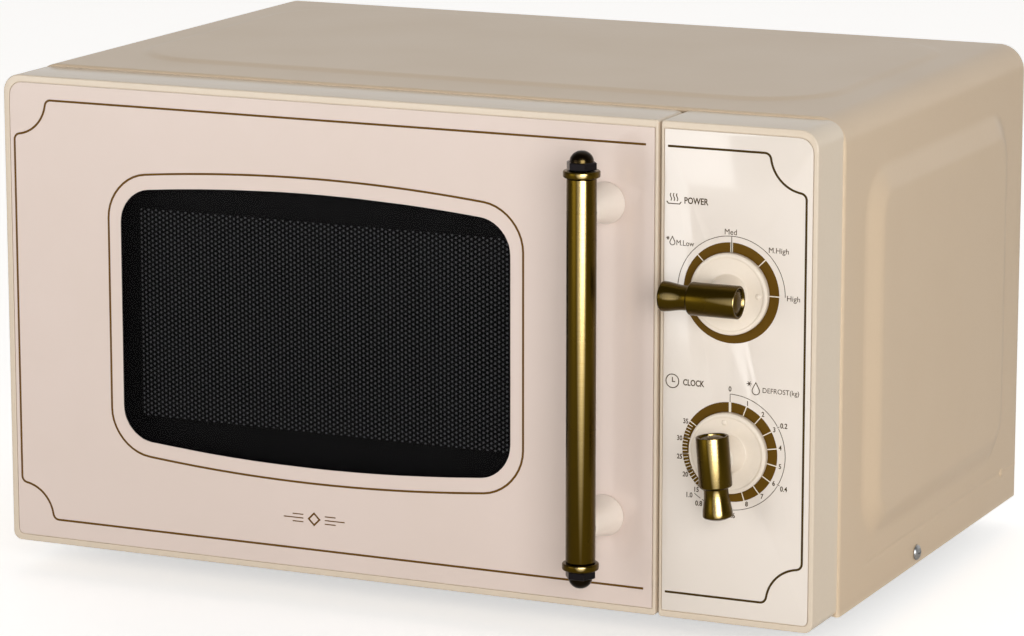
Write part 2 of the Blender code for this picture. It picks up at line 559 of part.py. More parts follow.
def cavity():
    """The oven's inner box and its waveguide cover."""
    x0, x1, z0, z1 = CAVITY_X0 - SHEET, CAVITY_X1 + SHEET, CAVITY_Z0 - SHEET, CAVITY_Z1 + SHEET
    wrap = keep(box("cavity_wrap", (x0, CAVITY_Y0, z0), (x1, CAVITY_Y1 - GAP, z1)), ENAMEL)
    room = box("cavity_room", (CAVITY_X0, CAVITY_Y0 - BEYOND, z0 - BEYOND),
               (CAVITY_X1, CAVITY_Y1 + BEYOND, CAVITY_Z1))
    half_width, half_height = PORT_WIDTH / 2, PORT_HEIGHT / 2
    port = box("waveguide_port", (CAVITY_X1 - BEYOND, GUIDE_Y - half_width, GUIDE_Z - half_height),
               (x1 + BEYOND, GUIDE_Y + half_width, GUIDE_Z + half_height))
    light = rod("lamp_port", LAMP_PORT, (CAVITY_X1 - BEYOND, LAMP_Y, LAMP_Z),
                (x1 + BEYOND, LAMP_Y, LAMP_Z))
    cut(wrap, room, port, light)
    floor = keep(box("cavity_floor", (CAVITY_X0 + GAP, CAVITY_Y0, z0),
                     (CAVITY_X1 - GAP, CAVITY_Y1 - GAP, CAVITY_Z0)), ENAMEL)
    cut(floor, rod("drive_hole", DRIVE_HOLE, (TRAY_X, TRAY_Y, z0 - BEYOND),
                   (TRAY_X, TRAY_Y, CAVITY_Z0 + BEYOND)))
    keep(box("cavity_rear", (x0, CAVITY_Y1, z0), (x1, CAVITY_Y1 + SHEET, z1)), ENAMEL)
    half_width, half_height = half_width + PORT_LAP, half_height + PORT_LAP
    keep(box("waveguide_cover",
             (CAVITY_X1 - GAP - MICA_THICKNESS, GUIDE_Y - half_width, GUIDE_Z - half_height),
             (CAVITY_X1 - GAP, GUIDE_Y + half_width, GUIDE_Z + half_height)), MICA)


# Door


def hinge_plates():
    """The two brackets that carry the door's pins."""
    axis = Vector((HINGE_X, HINGE_Y))
    along = Vector((sin(HINGE_LEAN), cos(HINGE_LEAN)))
    across = Vector((cos(HINGE_LEAN), -sin(HINGE_LEAN))) * HINGE_ARM_HALF
    tab_front = PLATE_REAR + GAP
    end = axis + along * (tab_front + PLATE / 2 - HINGE_Y) / cos(HINGE_LEAN)
    eye = arc(axis, HINGE_ARM_HALF, 180 - degrees(HINGE_LEAN), 360 - degrees(HINGE_LEAN), 8)
    outline = [*eye, tuple(end + across), tuple(end - across)]
    for word, z, inward in HINGES:
        arm = keep(flat_slab(f"{word}_hinge_plate", outline, z, z + HINGE_ARM), BARE_STEEL)
        middle = z + HINGE_ARM / 2
        low, high = sorted((middle, middle + inward * HINGE_TAB))
        tab = box("hinge_tab", (HINGE_X - HINGE_ARM_HALF / 2, tab_front, low),
                  (CAVITY_X0 - SHEET - GAP, tab_front + PLATE, high))
        pin = rod("hinge_pin", PIN_RADIUS, (HINGE_X, HINGE_Y, middle),
                  (HINGE_X, HINGE_Y, middle + inward * PIN_LENGTH), 24)
        join(arm, tab, pin)


def door_outline(inset):
    """The door's outline, drawn in by inset."""
    low, high = max(CORNER_LOW - inset, CORNER_SHARP), max(CORNER_TOP - inset, CORNER_SHARP)
    return rounded(LEFT + inset, BASE + inset, DOOR_RIGHT - inset, TOP - inset,
                   (low, CORNER_SHARP, CORNER_SHARP, high), steps=4)


def door_window(inset):
    """The window's crowned outline, drawn in by inset."""
    return crowned(LEFT + WINDOW_LEFT + inset, BASE + WINDOW_LOW + inset, DOOR_RIGHT - WINDOW_RIGHT - inset,
                   TOP - WINDOW_TOP_MARGIN - inset, WINDOW_RADIUS - inset, WINDOW_CROWN)


def door_frame():
    """The door's moulding, with its window, swing chamfers and pin bosses."""
    frame = keep(front_slab("door_frame", door_outline(0), FACE, DOOR_REAR), CREAM)
    cut(frame, front_slab("door_room", door_outline(WALL), FACE + WALL, DOOR_REAR + BEYOND),
        front_slab("door_window", door_window(0), FACE - BEYOND, FACE + WALL + BEYOND))
    for side, x in ((1, LEFT), (-1, DOOR_RIGHT)):
        wedge = [(x - side * BEYOND, DOOR_REAR - DOOR_CHAMFER - BEYOND),
                 (x + side * (DOOR_CHAMFER + BEYOND), DOOR_REAR + BEYOND),
                 (x - side * BEYOND, DOOR_REAR + BEYOND)]
        cut(frame, flat_slab("swing_chamfer", wedge, BASE - BEYOND, TOP + BEYOND))
    for _, z, inward in HINGES:
        near = z + HINGE_ARM / 2 + inward * (HINGE_ARM / 2 + BOSS_GAP)
        low, high = sorted((near, near + inward * BOSS_HEIGHT))
        root, reach = WALL / 2, HINGE_INSET + BOSS_WALL
        join(frame, box("pin_boss", (LEFT + root, FACE + root, low), (LEFT + reach, FACE + reach, high)))
        cut(frame, rod("pin_hole", PIN_RADIUS + PIN_CLEARANCE, (HINGE_X, HINGE_Y, low - GAP),
                       (HINGE_X, HINGE_Y, high + GAP), 24),
            box("arm_notch", (LEFT - BEYOND, FACE + WALL, z - 2 * GAP),
                (LEFT + WALL + GAP, DOOR_REAR + BEYOND, z + HINGE_ARM + 2 * GAP)))
    return frame


def door_glass():
    """The pane: flush in the window, with a wider lap behind the moulding."""
    lap_front, rear = FACE + WALL + GAP, FACE + WALL + GAP + GLASS
    glass = keep(front_slab("door_glass", door_window(GAP), FACE, rear), BLACK_GLASS)
    lap = rounded(LEFT + WINDOW_LEFT - GLASS_LAP, BASE + WINDOW_LOW - GLASS_LAP - WINDOW_CROWN,
                  DOOR_RIGHT - WINDOW_RIGHT + GLASS_LAP, TOP - WINDOW_TOP_MARGIN + GLASS_LAP + WINDOW_CROWN,
                  [WINDOW_RADIUS] * 4)
    return join(glass, front_slab("glass_lap", lap, lap_front, rear))


def frame_box(name, inset, front, rear):
    """A box over the screen's outline, drawn in by inset."""
    x0, x1 = CAVITY_X0 - SCREEN_LAP, CAVITY_X1 + SCREEN_LAP
    z0, z1 = CAVITY_Z0 - SCREEN_LAP, CAVITY_Z1 + SCREEN_LAP
    return box(name, (x0 + inset, front, z0 + inset), (x1 - inset, rear, z1 - inset))


def door_back():
    """The screen's pan, the choke channel around it and the inner cover."""
    front, rear = FACE + SCREEN_SETBACK, DOOR_REAR - COVER
    screen = keep(frame_box("door_screen", 0, front, rear), BLACK_STEEL)
    cut(screen, frame_box("screen_room", SHEET, front + SHEET, rear + BEYOND))

    edge = SHEET + GAP
    inner = edge + CHOKE_WIDTH
    choke = keep(frame_box("door_choke", edge, front + edge, rear), BLACK_STEEL)
    groove = frame_box("choke_groove", edge + SHEET, front + edge + SHEET, rear + BEYOND)
    island = frame_box("choke_island", inner - SHEET, front, rear + 2 * BEYOND)
    cut(choke, frame_box("choke_middle", inner, front - BEYOND, rear + BEYOND), cut(groove, island))

    cover = box("door_inner_cover",
                (CAVITY_X0 - SCREEN_LAP - COVER_LAP, rear + GAP, CAVITY_Z0 - SCREEN_LAP - COVER_LAP),
                (DOOR_RIGHT - DOOR_CHAMFER - WALL, DOOR_REAR - GAP, CAVITY_Z1 + SCREEN_LAP + COVER_LAP))
    cut(keep(cover, BLACK_PLASTIC),
        box("cover_window", (CAVITY_X0 + COVER_LIP, front, CAVITY_Z0 + COVER_LIP),
            (CAVITY_X1 - COVER_LIP, DOOR_REAR + BEYOND, CAVITY_Z1 - COVER_LIP)))
    for z in (LATCH_Z0, LATCH_Z1):
        cut(cover, box("hook_slot", (LATCH_X - HOOK_THICKNESS, front, z - HOOK_PLAY),
                       (LATCH_X + HOOK_THICKNESS, DOOR_REAR + BEYOND,
                        z + HOOK_HEIGHT + LATCH_TRAVEL + HOOK_PLAY)))
    return [screen, choke, cover]


def handle():
    """The upright bar with its collars, acorn nuts and two posts."""
    middle = (HANDLE_X, HANDLE_Y)
    tube = keep(rod("handle_tube", HANDLE_RADIUS, (*middle, HANDLE_Z0), (*middle, HANDLE_Z1), 24), BRASS)
    pieces = [tube]
    for word, end, up in (("lower", HANDLE_Z0, -1), ("upper", HANDLE_Z1, 1)):
        collar = end + up * GAP
        nut = collar + up * (COLLAR_THICKNESS + GAP)
        post = end - up * POST_INSET
        pieces += [handle_collar(word, collar, up), handle_nut(word, nut, up), handle_post(word, post)]
    return pieces


def handle_collar(word, z, up):
    """A flat collar at one end of the bar."""
    return keep(rod(f"handle_collar_{word}", COLLAR_RADIUS, (HANDLE_X, HANDLE_Y, z),
                    (HANDLE_X, HANDLE_Y, z + up * COLLAR_THICKNESS), 24), BRASS)


def handle_nut(word, z, up):
    """A hexagon nut with a domed cap."""
    top = (HANDLE_X, HANDLE_Y, z + up * NUT_HEIGHT)
    nut = keep(rod(f"handle_nut_{word}", NUT_RADIUS, (HANDLE_X, HANDLE_Y, z), top, 6), DARK_BRASS)
    rings = 4
    angles = [pi / 2 * (1 - i / rings) for i in range(1, rings + 1)]
    dome = [(DOME_RADIUS * cos(a), DOME_HEIGHT * sin(a)) for a in angles]
    profile = [(0, DOME_HEIGHT), *dome, (DOME_RADIUS, -GAP), (0, -GAP)]
    return join(nut, turned("nut_dome", profile, top, (0, 0, up), steps=12))


def handle_post(word, z):
    """A conical post from the door's face, saddled round the bar."""
    tip = HANDLE_REACH - HANDLE_RADIUS / 2
    profile = [(0, tip), (POST_NECK_RADIUS, tip), (POST_NECK_RADIUS + POST_SWELL, HANDLE_REACH / 2),
               (POST_BASE_RADIUS, GAP), (0, GAP)]
    post = keep(turned(f"handle_post_{word}", profile, (HANDLE_X, FACE, z), (0, -1, 0), steps=20), CREAM)
    return cut(post, rod("post_saddle", HANDLE_RADIUS + GAP, (HANDLE_X, HANDLE_Y, z - 2 * POST_BASE_RADIUS),
                         (HANDLE_X, HANDLE_Y, z + 2 * POST_BASE_RADIUS), 24))


def door():
    """The whole door on its hinge axis."""
    hang("door_axis", (HINGE_X, HINGE_Y, BASE), [door_frame(), door_glass(), *door_back(), *handle()])


def latch():
    """The sprung hook carriage in the door's right edge and its spring."""
    low, high = LATCH_Z0 - LATCH_END, LATCH_Z1 + HOOK_HEIGHT + LATCH_END
    front, rear = DOOR_REAR - COVER - GAP - LATCH_DEPTH, DOOR_REAR - COVER - GAP
    bar = box("door_latch", (LATCH_X - LATCH_HALF, front, low), (LATCH_X + LATCH_HALF, rear, high))
    keep(bar, WHITE_PLASTIC)
    root, tip, nose = (front + rear) / 2, DOOR_REAR + HOOK_REACH, 0.004
    for z in (LATCH_Z0, LATCH_Z1):
        hook = [(root, z + 0.002), (tip - nose - 0.001, z + 0.002), (tip - nose, z), (tip, z + 0.003),
                (tip - nose + 0.001, z + HOOK_HEIGHT), (root, z + HOOK_HEIGHT)]
        join(bar, side_slab("hook", hook, LATCH_X - HOOK_THICKNESS / 2, LATCH_X + HOOK_THICKNESS / 2))
    hang("latch_slide", (LATCH_X, root, low), [bar])

    bottom, top = high + SPRING_WIRE + GAP, TOP - WALL - SPRING_WIRE - GAP
    per_turn = 10
    count = SPRING_TURNS * per_turn
    curve = bpy.data.curves.new("latch_spring", "CURVE")
    curve.dimensions, curve.bevel_depth, curve.bevel_resolution = "3D", SPRING_WIRE, 1
    curve.use_fill_caps = True
    spline = curve.splines.new("POLY")
    spline.points.add(count)
    for i, point in enumerate(spline.points):
        turn = 2 * pi * i / per_turn
        point.co = (SPRING_RADIUS * cos(turn), SPRING_RADIUS * sin(turn), (top - bottom) * i / count, 1)
    curve.materials.append(BARE_STEEL)
    spring = bpy.data.objects.new("latch_spring", curve)
    spring.location = (LATCH_X, root, bottom)
    PARTS.objects.link(spring)


# Turntable


def tray():
    """The glass tray on its three-lobed drive coupler."""
    r, wall = TRAY_RADIUS, TRAY_THICKNESS
    profile = [(r - wall, TRAY_RIM), (r, TRAY_RIM), (r - TRAY_DISH + wall, 0), (0, 0), (0, wall),
               (r - TRAY_DISH, wall), (r - wall, TRAY_RIM)]
    at = (TRAY_X, TRAY_Y, TRAY_Z)
    glass = keep(turned("turntable_glass", profile, at, (0, 0, 1), steps=36), CLEAR_GLASS)
    top = TRAY_Z - GAP - MOTOR_Z
    low = top - COUPLER_HEIGHT
    profile = [(0, top), (COUPLER_RADIUS, top), (COUPLER_RADIUS, low), (SHAFT_RADIUS, low),
               (SHAFT_RADIUS, 2 * MOTOR_FLOOR), (0, 2 * MOTOR_FLOOR)]
    drive = turned("turntable_coupler", profile, (TRAY_X, TRAY_Y, MOTOR_Z), (0, 0, 1), steps=18)
    hang("turntable_axis", at, [glass, keep(drive, WHITE_PLASTIC)])


def turntable_motor():
    """The drive motor under the cavity's floor."""
    top = (TRAY_X, TRAY_Y, MOTOR_Z + MOTOR_HEIGHT)
    motor = keep(rod("turntable_motor", MOTOR_RADIUS, (TRAY_X, TRAY_Y, MOTOR_Z), top, 24), BARE_STEEL)
    cut(motor, rod("motor_bore", SHAFT_RADIUS + SHAFT_CLEARANCE, (TRAY_X, TRAY_Y, MOTOR_Z + MOTOR_FLOOR),
                   (TRAY_X, TRAY_Y, top[2] + BEYOND), 18))


def rollers():
    """The roller ring and its wheels, each turning on a short radial axle."""
    outer, inner, half = RING_RADIUS, RING_RADIUS - RING_WIDTH, RING_THICKNESS / 2
    centre = Vector((TRAY_X, TRAY_Y, ROLLER_Z))
    section = [(inner, half), (outer, half), (outer, -half), (inner, -half), (inner, half)]
    ring = keep(turned("roller_ring", section, centre, (0, 0, 1), steps=36), WHITE_PLASTIC)
    start, end = outer + ROLLER_GAP, outer + ROLLER_GAP + ROLLER_WIDTH
    bore, r, edge = AXLE_RADIUS + AXLE_CLEARANCE, ROLLER_RADIUS, ROLLER_EDGE
    wheel = [(bore, ROLLER_WIDTH), (r - edge, ROLLER_WIDTH), (r, ROLLER_WIDTH - edge), (r, edge),
             (r - edge, 0), (bore, 0), (bore, ROLLER_WIDTH)]
    for i in range(ROLLER_COUNT):
        angle = 2 * pi * i / ROLLER_COUNT
        out = Vector((cos(angle), sin(angle), 0))
        root, head = outer - RING_WIDTH / 2, end + ROLLER_GAP
        axle = [(0, head), (AXLE_CAP, head), (AXLE_CAP, end + GAP), (AXLE_RADIUS, end + GAP),
                (AXLE_RADIUS, root), (0, root)]
        join(ring, turned("axle", axle, centre, out, steps=HOLE_SIDES))
        keep(turned(f"roller_{i + 1}", wheel, centre + out * start, out, steps=24), WHITE_PLASTIC)


# Dials and control panel


def panel_outline(inset):
    """The control panel's outline, drawn in by inset."""
    low, high = max(CORNER_LOW - inset, CORNER_SHARP), max(CORNER_TOP - inset, CORNER_SHARP)
    return rounded(PANEL_LEFT + inset, BASE + inset, RIGHT - inset, TOP - inset,
                   (CORNER_SHARP, low, high, CORNER_SHARP), steps=4)


def control_panel():
    """The panel moulding, the timer unit behind it and the two dials."""
    rear = PLATE_FRONT - GAP
    panel = keep(front_slab("control_panel", panel_outline(0), FACE, rear), CREAM_PANEL)
    cut(panel, front_slab("panel_room", panel_outline(WALL), FACE + WALL, rear + BEYOND))
    seat = FACE + WALL + TIMER_SEAT
    unit = keep(box("timer_unit", (KNOB_X - TIMER_HALF, seat, TIMER_Z - TIMER_HALF),
                    (KNOB_X + TIMER_HALF, seat + TIMER_DEPTH, POWER_Z + TIMER_HALF)), WHITE_PLASTIC)
    socket = seat + TIMER_DEPTH / 2
    for word, z, tail in (("power", POWER_Z, (-1, 0, 0)), ("timer", TIMER_Z, (0, 0, -1))):
        cut(panel, rod("panel_hole", SHAFT_RADIUS + 2 * GAP, (KNOB_X, FACE - BEYOND, z),
                       (KNOB_X, FACE + WALL + GAP, z), 18))
        cut(unit, rod("shaft_socket", SHAFT_RADIUS + SHAFT_CLEARANCE, (KNOB_X, seat - GAP, z),
                      (KNOB_X, socket, z), 18))
        at = (KNOB_X, FACE, z)
        hang(f"{word}_axis", at, [disc(word, at, socket - GAP - FACE), lever(word, at, tail)])


def disc(word, at, shaft_depth):
    """A dial's disc with its raised rim, hub and shaft."""
    front = DISC_THICKNESS + GAP
    field, hub = front - DISC_RIM / 2, LEVER_REACH - LEVER_RADIUS - GAP
    profile = [(0, hub), (CONE_TIP_RADIUS, hub), (CONE_RADIUS, field), (DISC_RADIUS - DISC_RIM, field),
               (DISC_RADIUS - DISC_RIM / 2, front), (DISC_RADIUS, front - DISC_RIM / 2),
               (DISC_RADIUS, GAP), (SHAFT_RADIUS, GAP), (SHAFT_RADIUS, -shaft_depth), (0, -shaft_depth)]
    return keep(turned(f"{word}_dial", profile, at, (0, -1, 0), steps=36), CREAM_PANEL)


def lever(word, at, tail):
    """A dial's brass lever: a short barrel, a waist and a flared tail."""
    r, waist = LEVER_RADIUS, LEVER_NOSE + LEVER_SHOULDER
    profile = [(0, LEVER_TAIL), (r * LEVER_FLARE * 0.7, LEVER_TAIL - 0.0006),
               (r * LEVER_FLARE, LEVER_TAIL - 0.003), (r * LEVER_WAIST, waist), (r, LEVER_NOSE),
               (r, -LEVER_NOSE), (0, -LEVER_NOSE)]
    place = (at[0], at[1] - LEVER_REACH, at[2])
    return keep(turned(f"{word}_lever", profile, place, tail, steps=24), BRASS)


# Electrical bay


def block(name, middle, size, material=None):
    """A box around its middle."""
    low = [m - s / 2 for m, s in zip(middle, size)]
    high = [m + s / 2 for m, s in zip(middle, size)]
    made = box(name, low, high)
    return keep(made, material) if material else made


def microwave_source():
    """The waveguide on the cavity's side and the magnetron that feeds it."""
    depth, width, height = WAVEGUIDE_SIZE
    middle = (BAY_X0 + depth / 2, GUIDE_Y, GUIDE_Z)
    guide = block("waveguide", middle, WAVEGUIDE_SIZE, BARE_STEEL)
    room = block("guide_room", (BAY_X0 - SHEET, GUIDE_Y, GUIDE_Z),
                 (2 * depth, width - 2 * SHEET, height - 2 * SHEET))
    hole = rod("antenna_hole", ANTENNA_RADIUS * 1.3, middle, (BAY_X0 + depth + BEYOND, GUIDE_Y, GUIDE_Z))
    cut(guide, room, hole)
    near = BAY_X0 + depth + GAP
    length, width, height = MAGNETRON_SIZE
    magnetron = block("magnetron", (near + length / 2, GUIDE_Y, GUIDE_Z), MAGNETRON_SIZE, ALUMINIUM)
    join(magnetron, rod("antenna", ANTENNA_RADIUS, (near + length / 2, GUIDE_Y, GUIDE_Z),
                        (near - ANTENNA_LENGTH, GUIDE_Y, GUIDE_Z)))
    for i in range(FINS):
        z = GUIDE_Z + (i - (FINS - 1) / 2) * FIN_PITCH
        cut(magnetron, block("fin_gap", (near + length / 2, GUIDE_Y - width / 2, z),
                             (length - 0.020, 2 * FIN_DEPTH, FIN_SLOT)))


def power_supply():
    """The transformer and its capacitor, standing on the base plate."""
    floor = BASE + SHEET + GAP
    width, depth, height = CORE_SIZE
    x, y, z = FAN_X, CAVITY_Y0 + CORE_SETBACK, floor + height / 2
    core = block("transformer_core", (x, y, z), CORE_SIZE, BARE_STEEL)
    window = (width / 2 - CORE_LEG - CORE_YOKE, 2 * depth, height - 2 * CORE_YOKE)
    offset = CORE_LEG + window[0] / 2
    for side in (-1, 1):
        cut(core, block("core_window", (x + side * offset, y, z), window))
    half = CORE_LEG + window[0] - GAP
    reach = depth / 2 + WINDING_REACH
    outline = rounded(x - half, y - reach, x + half, y + reach, [CORE_LEG] * 4, steps=3)
    winding = flat_slab("transformer_winding", outline, floor + CORE_YOKE + GAP,
                        floor + height - CORE_YOKE - GAP)
    hole = block("winding_hole", (x, y, z), (2 * (CORE_LEG + GAP), depth + 2 * GAP, 2 * height))
    cut(keep(winding, COPPER), hole)

    width, depth, height = CAN_SIZE
    y = SHROUD_Y - CAN_SETBACK
    can = rounded(x - width / 2, y - depth / 2, x + width / 2, y + depth / 2,
                  [depth / 2 - GAP] * 4, steps=4)
    keep(flat_slab("capacitor", can, floor, floor + height), ALUMINIUM)


def cooling():
    """The fan's shroud, motor and blades at the rear of the bay."""
    outline = rounded(BAY_X0 + SHROUD_MARGIN, FAN_Z - SHROUD_HALF, BAY_X1 - SHROUD_MARGIN,
                      FAN_Z + SHROUD_HALF, [SHROUD_MARGIN] * 4, steps=2)
    shroud = keep(front_slab("fan_shroud", outline, SHROUD_Y, SHROUD_Y + SHROUD_THICKNESS), BLACK_PLASTIC)
    cut(shroud, rod("shroud_hole", SHROUD_HOLE, (FAN_X, SHROUD_Y - BEYOND, FAN_Z),
                    (FAN_X, SHROUD_Y + BEYOND, FAN_Z), 24))
    front = FAN_Y - FAN_HUB_LENGTH - FAN_MOTOR_DEPTH
    size = (2 * FAN_MOTOR, FAN_MOTOR_DEPTH, 2 * FAN_MOTOR)
    motor = block("fan_motor", (FAN_X, front + FAN_MOTOR_DEPTH / 2, FAN_Z), size, BARE_STEEL)
    arm_y = front + FAN_MOTOR_DEPTH / 2
    reach = SHROUD_HOLE + ARM_WIDTH
    for side in (-1, 1):
        near, far = sorted((FAN_X + side * FAN_MOTOR * 0.9, FAN_X + side * reach))
        arm = box("motor_arm", (near, arm_y, FAN_Z - ARM_WIDTH),
                  (far, arm_y + ARM_WIDTH, FAN_Z + ARM_WIDTH))
        near, far = sorted((FAN_X + side * (reach - ARM_WIDTH / 2), FAN_X + side * (reach + ARM_WIDTH / 2)))
        leg = box("motor_leg", (near, arm_y, FAN_Z - ARM_WIDTH), (far, SHROUD_Y - GAP, FAN_Z + ARM_WIDTH))
        join(motor, arm, leg)
    bore = rod("motor_bore", FAN_SHAFT + AXLE_CLEARANCE, (FAN_X, front + FAN_MOTOR_DEPTH / 2, FAN_Z),
               (FAN_X, FAN_Y, FAN_Z), HOLE_SIDES)
    cut(motor, bore)

    hub_front = FAN_Y - FAN_HUB_LENGTH + ARM_WIDTH
    fan = rod("fan_blade", FAN_HUB, (FAN_X, hub_front, FAN_Z),
              (FAN_X, hub_front + FAN_HUB_LENGTH, FAN_Z), 18)
    keep(fan, BLACK_PLASTIC)
    shaft_front = front + FAN_MOTOR_DEPTH / 2 + ARM_WIDTH
    join(fan, rod("fan_shaft", FAN_SHAFT, (FAN_X, shaft_front, FAN_Z), (FAN_X, FAN_Y, FAN_Z), HOLE_SIDES))
    for i in range(FAN_BLADES):
        root = FAN_HUB - ARM_WIDTH
        blade = block("blade", ((root + FAN_RADIUS) / 2, 0, 0), (FAN_RADIUS - root, 2 * SHEET, FAN_CHORD))
        turn = Matrix.Rotation(2 * pi * i / FAN_BLADES, 4, "Y") @ Matrix.Rotation(FAN_PITCH, 4, "X")
        blade.data.transform(Matrix.Translation((FAN_X, FAN_Y, FAN_Z)) @ turn)
        join(fan, blade)
    hang("fan_axis", (FAN_X, FAN_Y, FAN_Z), [fan])


def oven_lamp():
    """The lamp that shines into the cavity through its port."""
    r, end = LAMP_PORT, LAMP_LENGTH
    profile = [(0, end), (r * 0.7, end), (r * 0.7, end * 0.75), (r, end * 0.6), (r, end * 0.25),
               (r * 0.8, 0), (0, 0)]
    keep(turned("oven_lamp", profile, (BAY_X0 + GAP, LAMP_Y, LAMP_Z), (1, 0, 0), steps=16), CLEAR_GLASS)


def interlocks():
    """The board beside the hooks and the two switches on it."""
    x = LATCH_X + HOOK_THICKNESS + HOOK_SWING
    low, high = LATCH_Z0 - SWITCH_SIZE[2] / 2, LATCH_Z1 + SWITCH_SIZE[2]
    board = box("latch_board", (x, CAVITY_Y0, low), (x + BOARD_THICKNESS, CAVITY_Y0 + BOARD_DEPTH, high))
    foot = box("board_foot", (x, CAVITY_Y0, low),
               (x + 4 * BOARD_THICKNESS, CAVITY_Y0 + BOARD_THICKNESS, high))
    join(keep(board, WHITE_PLASTIC), foot)
    width, depth, _ = SWITCH_SIZE
    for word, z in (("lower", LATCH_Z0), ("upper", LATCH_Z1)):
        middle = (x + BOARD_THICKNESS + GAP + width / 2, CAVITY_Y0 + BOARD_DEPTH * 0.6, z + HOOK_HEIGHT / 2)
        block(f"door_switch_{word}", middle, SWITCH_SIZE, BLACK_PLASTIC)


def line_filter():
    """The mains filter board above the fan, with its coil and capacitor."""
    width, depth, thickness = FILTER_SIZE
    rear, z = BACK_PLATE_FRONT - GAP, FAN_Z + SHROUD_HALF + FILTER_RISE
    x, middle = BAY_X0 + FILTER_INSET + width / 2, rear - depth / 2
    board = block("line_filter", (x, middle, z + thickness / 2), FILTER_SIZE, WHITE_PLASTIC)
    join(board, block("filter_coil", (x - width / 5, middle, z + 0.009), (0.022, 0.022, 0.018)),
         block("filter_capacitor", (x + width / 5, middle, z + 0.007), (0.022, 0.012, 0.014)))


cabinet()
cord_gland()
base_plate()
front_plate()
feet()
cavity()
hinge_plates()
door()
latch()
tray()
turntable_motor()
rollers()
control_panel()
microwave_source()
power_supply()
cooling()
oven_lamp()
interlocks()
line_filter()
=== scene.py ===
"""Fine meshes, finishes, light and camera for a countertop microwave oven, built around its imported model."""

import logging
from collections.abc import Callable, Iterable, Sequence
from dataclasses import dataclass, field, replace
from enum import Enum
from functools import cache
from math import atan2, ceil, cos, exp, hypot, pi, radians, sin, sqrt, tan

import bmesh
import bpy
from mathutils import Matrix, Vector


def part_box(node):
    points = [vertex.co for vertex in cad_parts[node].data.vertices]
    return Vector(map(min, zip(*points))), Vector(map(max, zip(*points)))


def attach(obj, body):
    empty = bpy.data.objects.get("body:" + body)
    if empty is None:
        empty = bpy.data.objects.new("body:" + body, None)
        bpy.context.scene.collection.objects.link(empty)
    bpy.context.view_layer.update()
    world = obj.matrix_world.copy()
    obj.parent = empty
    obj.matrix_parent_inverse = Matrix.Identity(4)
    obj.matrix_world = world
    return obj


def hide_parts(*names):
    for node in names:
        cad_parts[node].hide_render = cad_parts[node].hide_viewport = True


logging.basicConfig(level=logging.INFO, format="%(message)s")
LOG = logging.getLogger("microwave_oven")

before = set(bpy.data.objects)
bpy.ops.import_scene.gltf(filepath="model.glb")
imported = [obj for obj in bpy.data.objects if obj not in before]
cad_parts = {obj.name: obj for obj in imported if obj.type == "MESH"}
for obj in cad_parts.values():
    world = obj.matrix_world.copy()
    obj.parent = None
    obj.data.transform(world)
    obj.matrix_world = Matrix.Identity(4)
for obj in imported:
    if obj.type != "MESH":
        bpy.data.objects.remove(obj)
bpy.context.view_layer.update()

MM = 0.001
INK_THICKNESS = 0.06 * MM
BOLD_OFFSET = 0.02  # how far the strokes of capitals and numbers are widened, by the letter height
TIMER_TURN = radians(5)  # how far past straight down the timer's lever stands
Outline = list[tuple[float, float]]
Profile = list[tuple[float, float]]


# Outlines


def arc(centre: tuple[float, float], radius: float, start: float, end: float, steps: int) -> Outline:
    """Points on an arc.

    Args:
        centre: The arc's centre.
        radius: Its radius.
        start: First angle, in degrees.
        end: Last angle, in degrees.
        steps: Number of chords.

    Returns:
        The points, both ends included.
    """
    angles = [radians(start + (end - start) * i / steps) for i in range(steps + 1)]
    return [(centre[0] + radius * cos(a), centre[1] + radius * sin(a)) for a in angles]


def short_arc(centre: tuple[float, float], start: tuple[float, float], end: tuple[float, float],
              steps: int) -> Outline:
    """Points on the shorter arc about a centre, from one point to another.

    Args:
        centre: The arc's centre.
        start: Its first point.
        end: Its last point.
        steps: Number of chords.

    Returns:
        The points, both ends included.
    """
    first, last = (atan2(p[1] - centre[1], p[0] - centre[0]) for p in (start, end))
    sweep = (last - first + pi) % (2 * pi) - pi
    radius = hypot(start[0] - centre[0], start[1] - centre[1])
    angles = [first + sweep * i / steps for i in range(steps + 1)]
    return [(centre[0] + radius * cos(a), centre[1] + radius * sin(a)) for a in angles]


def rounded(low: tuple[float, float], high: tuple[float, float], radii: Sequence[float],
            steps: int = 8) -> Outline:
    """A rectangle with round corners.

    Args:
        low: Its lower left corner.
        high: Its upper right corner.
        radii: Corner radii from the lower left one, anticlockwise.
        steps: Chords in each corner.

    Returns:
        The outline, anticlockwise.
    """
    (u0, v0), (u1, v1) = low, high
    corners = [(u0, v0, 1, 1, 180), (u1, v0, -1, 1, 270), (u1, v1, -1, -1, 0), (u0, v1, 1, -1, 90)]
    points: Outline = []
    for (u, v, su, sv, start), radius in zip(corners, radii):
        points += arc((u + su * radius, v + sv * radius), radius, start, start + 90, steps)
    return points


def crowned(outline: Outline, crown: float) -> Outline:
    """Bow an outline's top and bottom outwards.

    Args:
        outline: A closed outline.
        crown: How far the middle of the top and of the bottom moves.

    Returns:
        The bowed outline, its long sides divided.
    """
    us, vs = [p[0] for p in outline], [p[1] for p in outline]
    middle_u, half_u = (max(us) + min(us)) / 2, (max(us) - min(us)) / 2
    middle_v, half_v = (max(vs) + min(vs)) / 2, (max(vs) - min(vs)) / 2
    divided: Outline = []
    for here, there in zip(outline, outline[1:] + outline[:1]):
        pieces = max(1, round(hypot(here[0] - there[0], here[1] - there[1]) / (6 * MM)))
        divided += [tuple(a + (b - a) * i / pieces for a, b in zip(here, there)) for i in range(pieces)]
    return [(u, v + crown * (1 - ((u - middle_u) / half_u) ** 2) * (v - middle_v) / half_v)
            for u, v in divided]


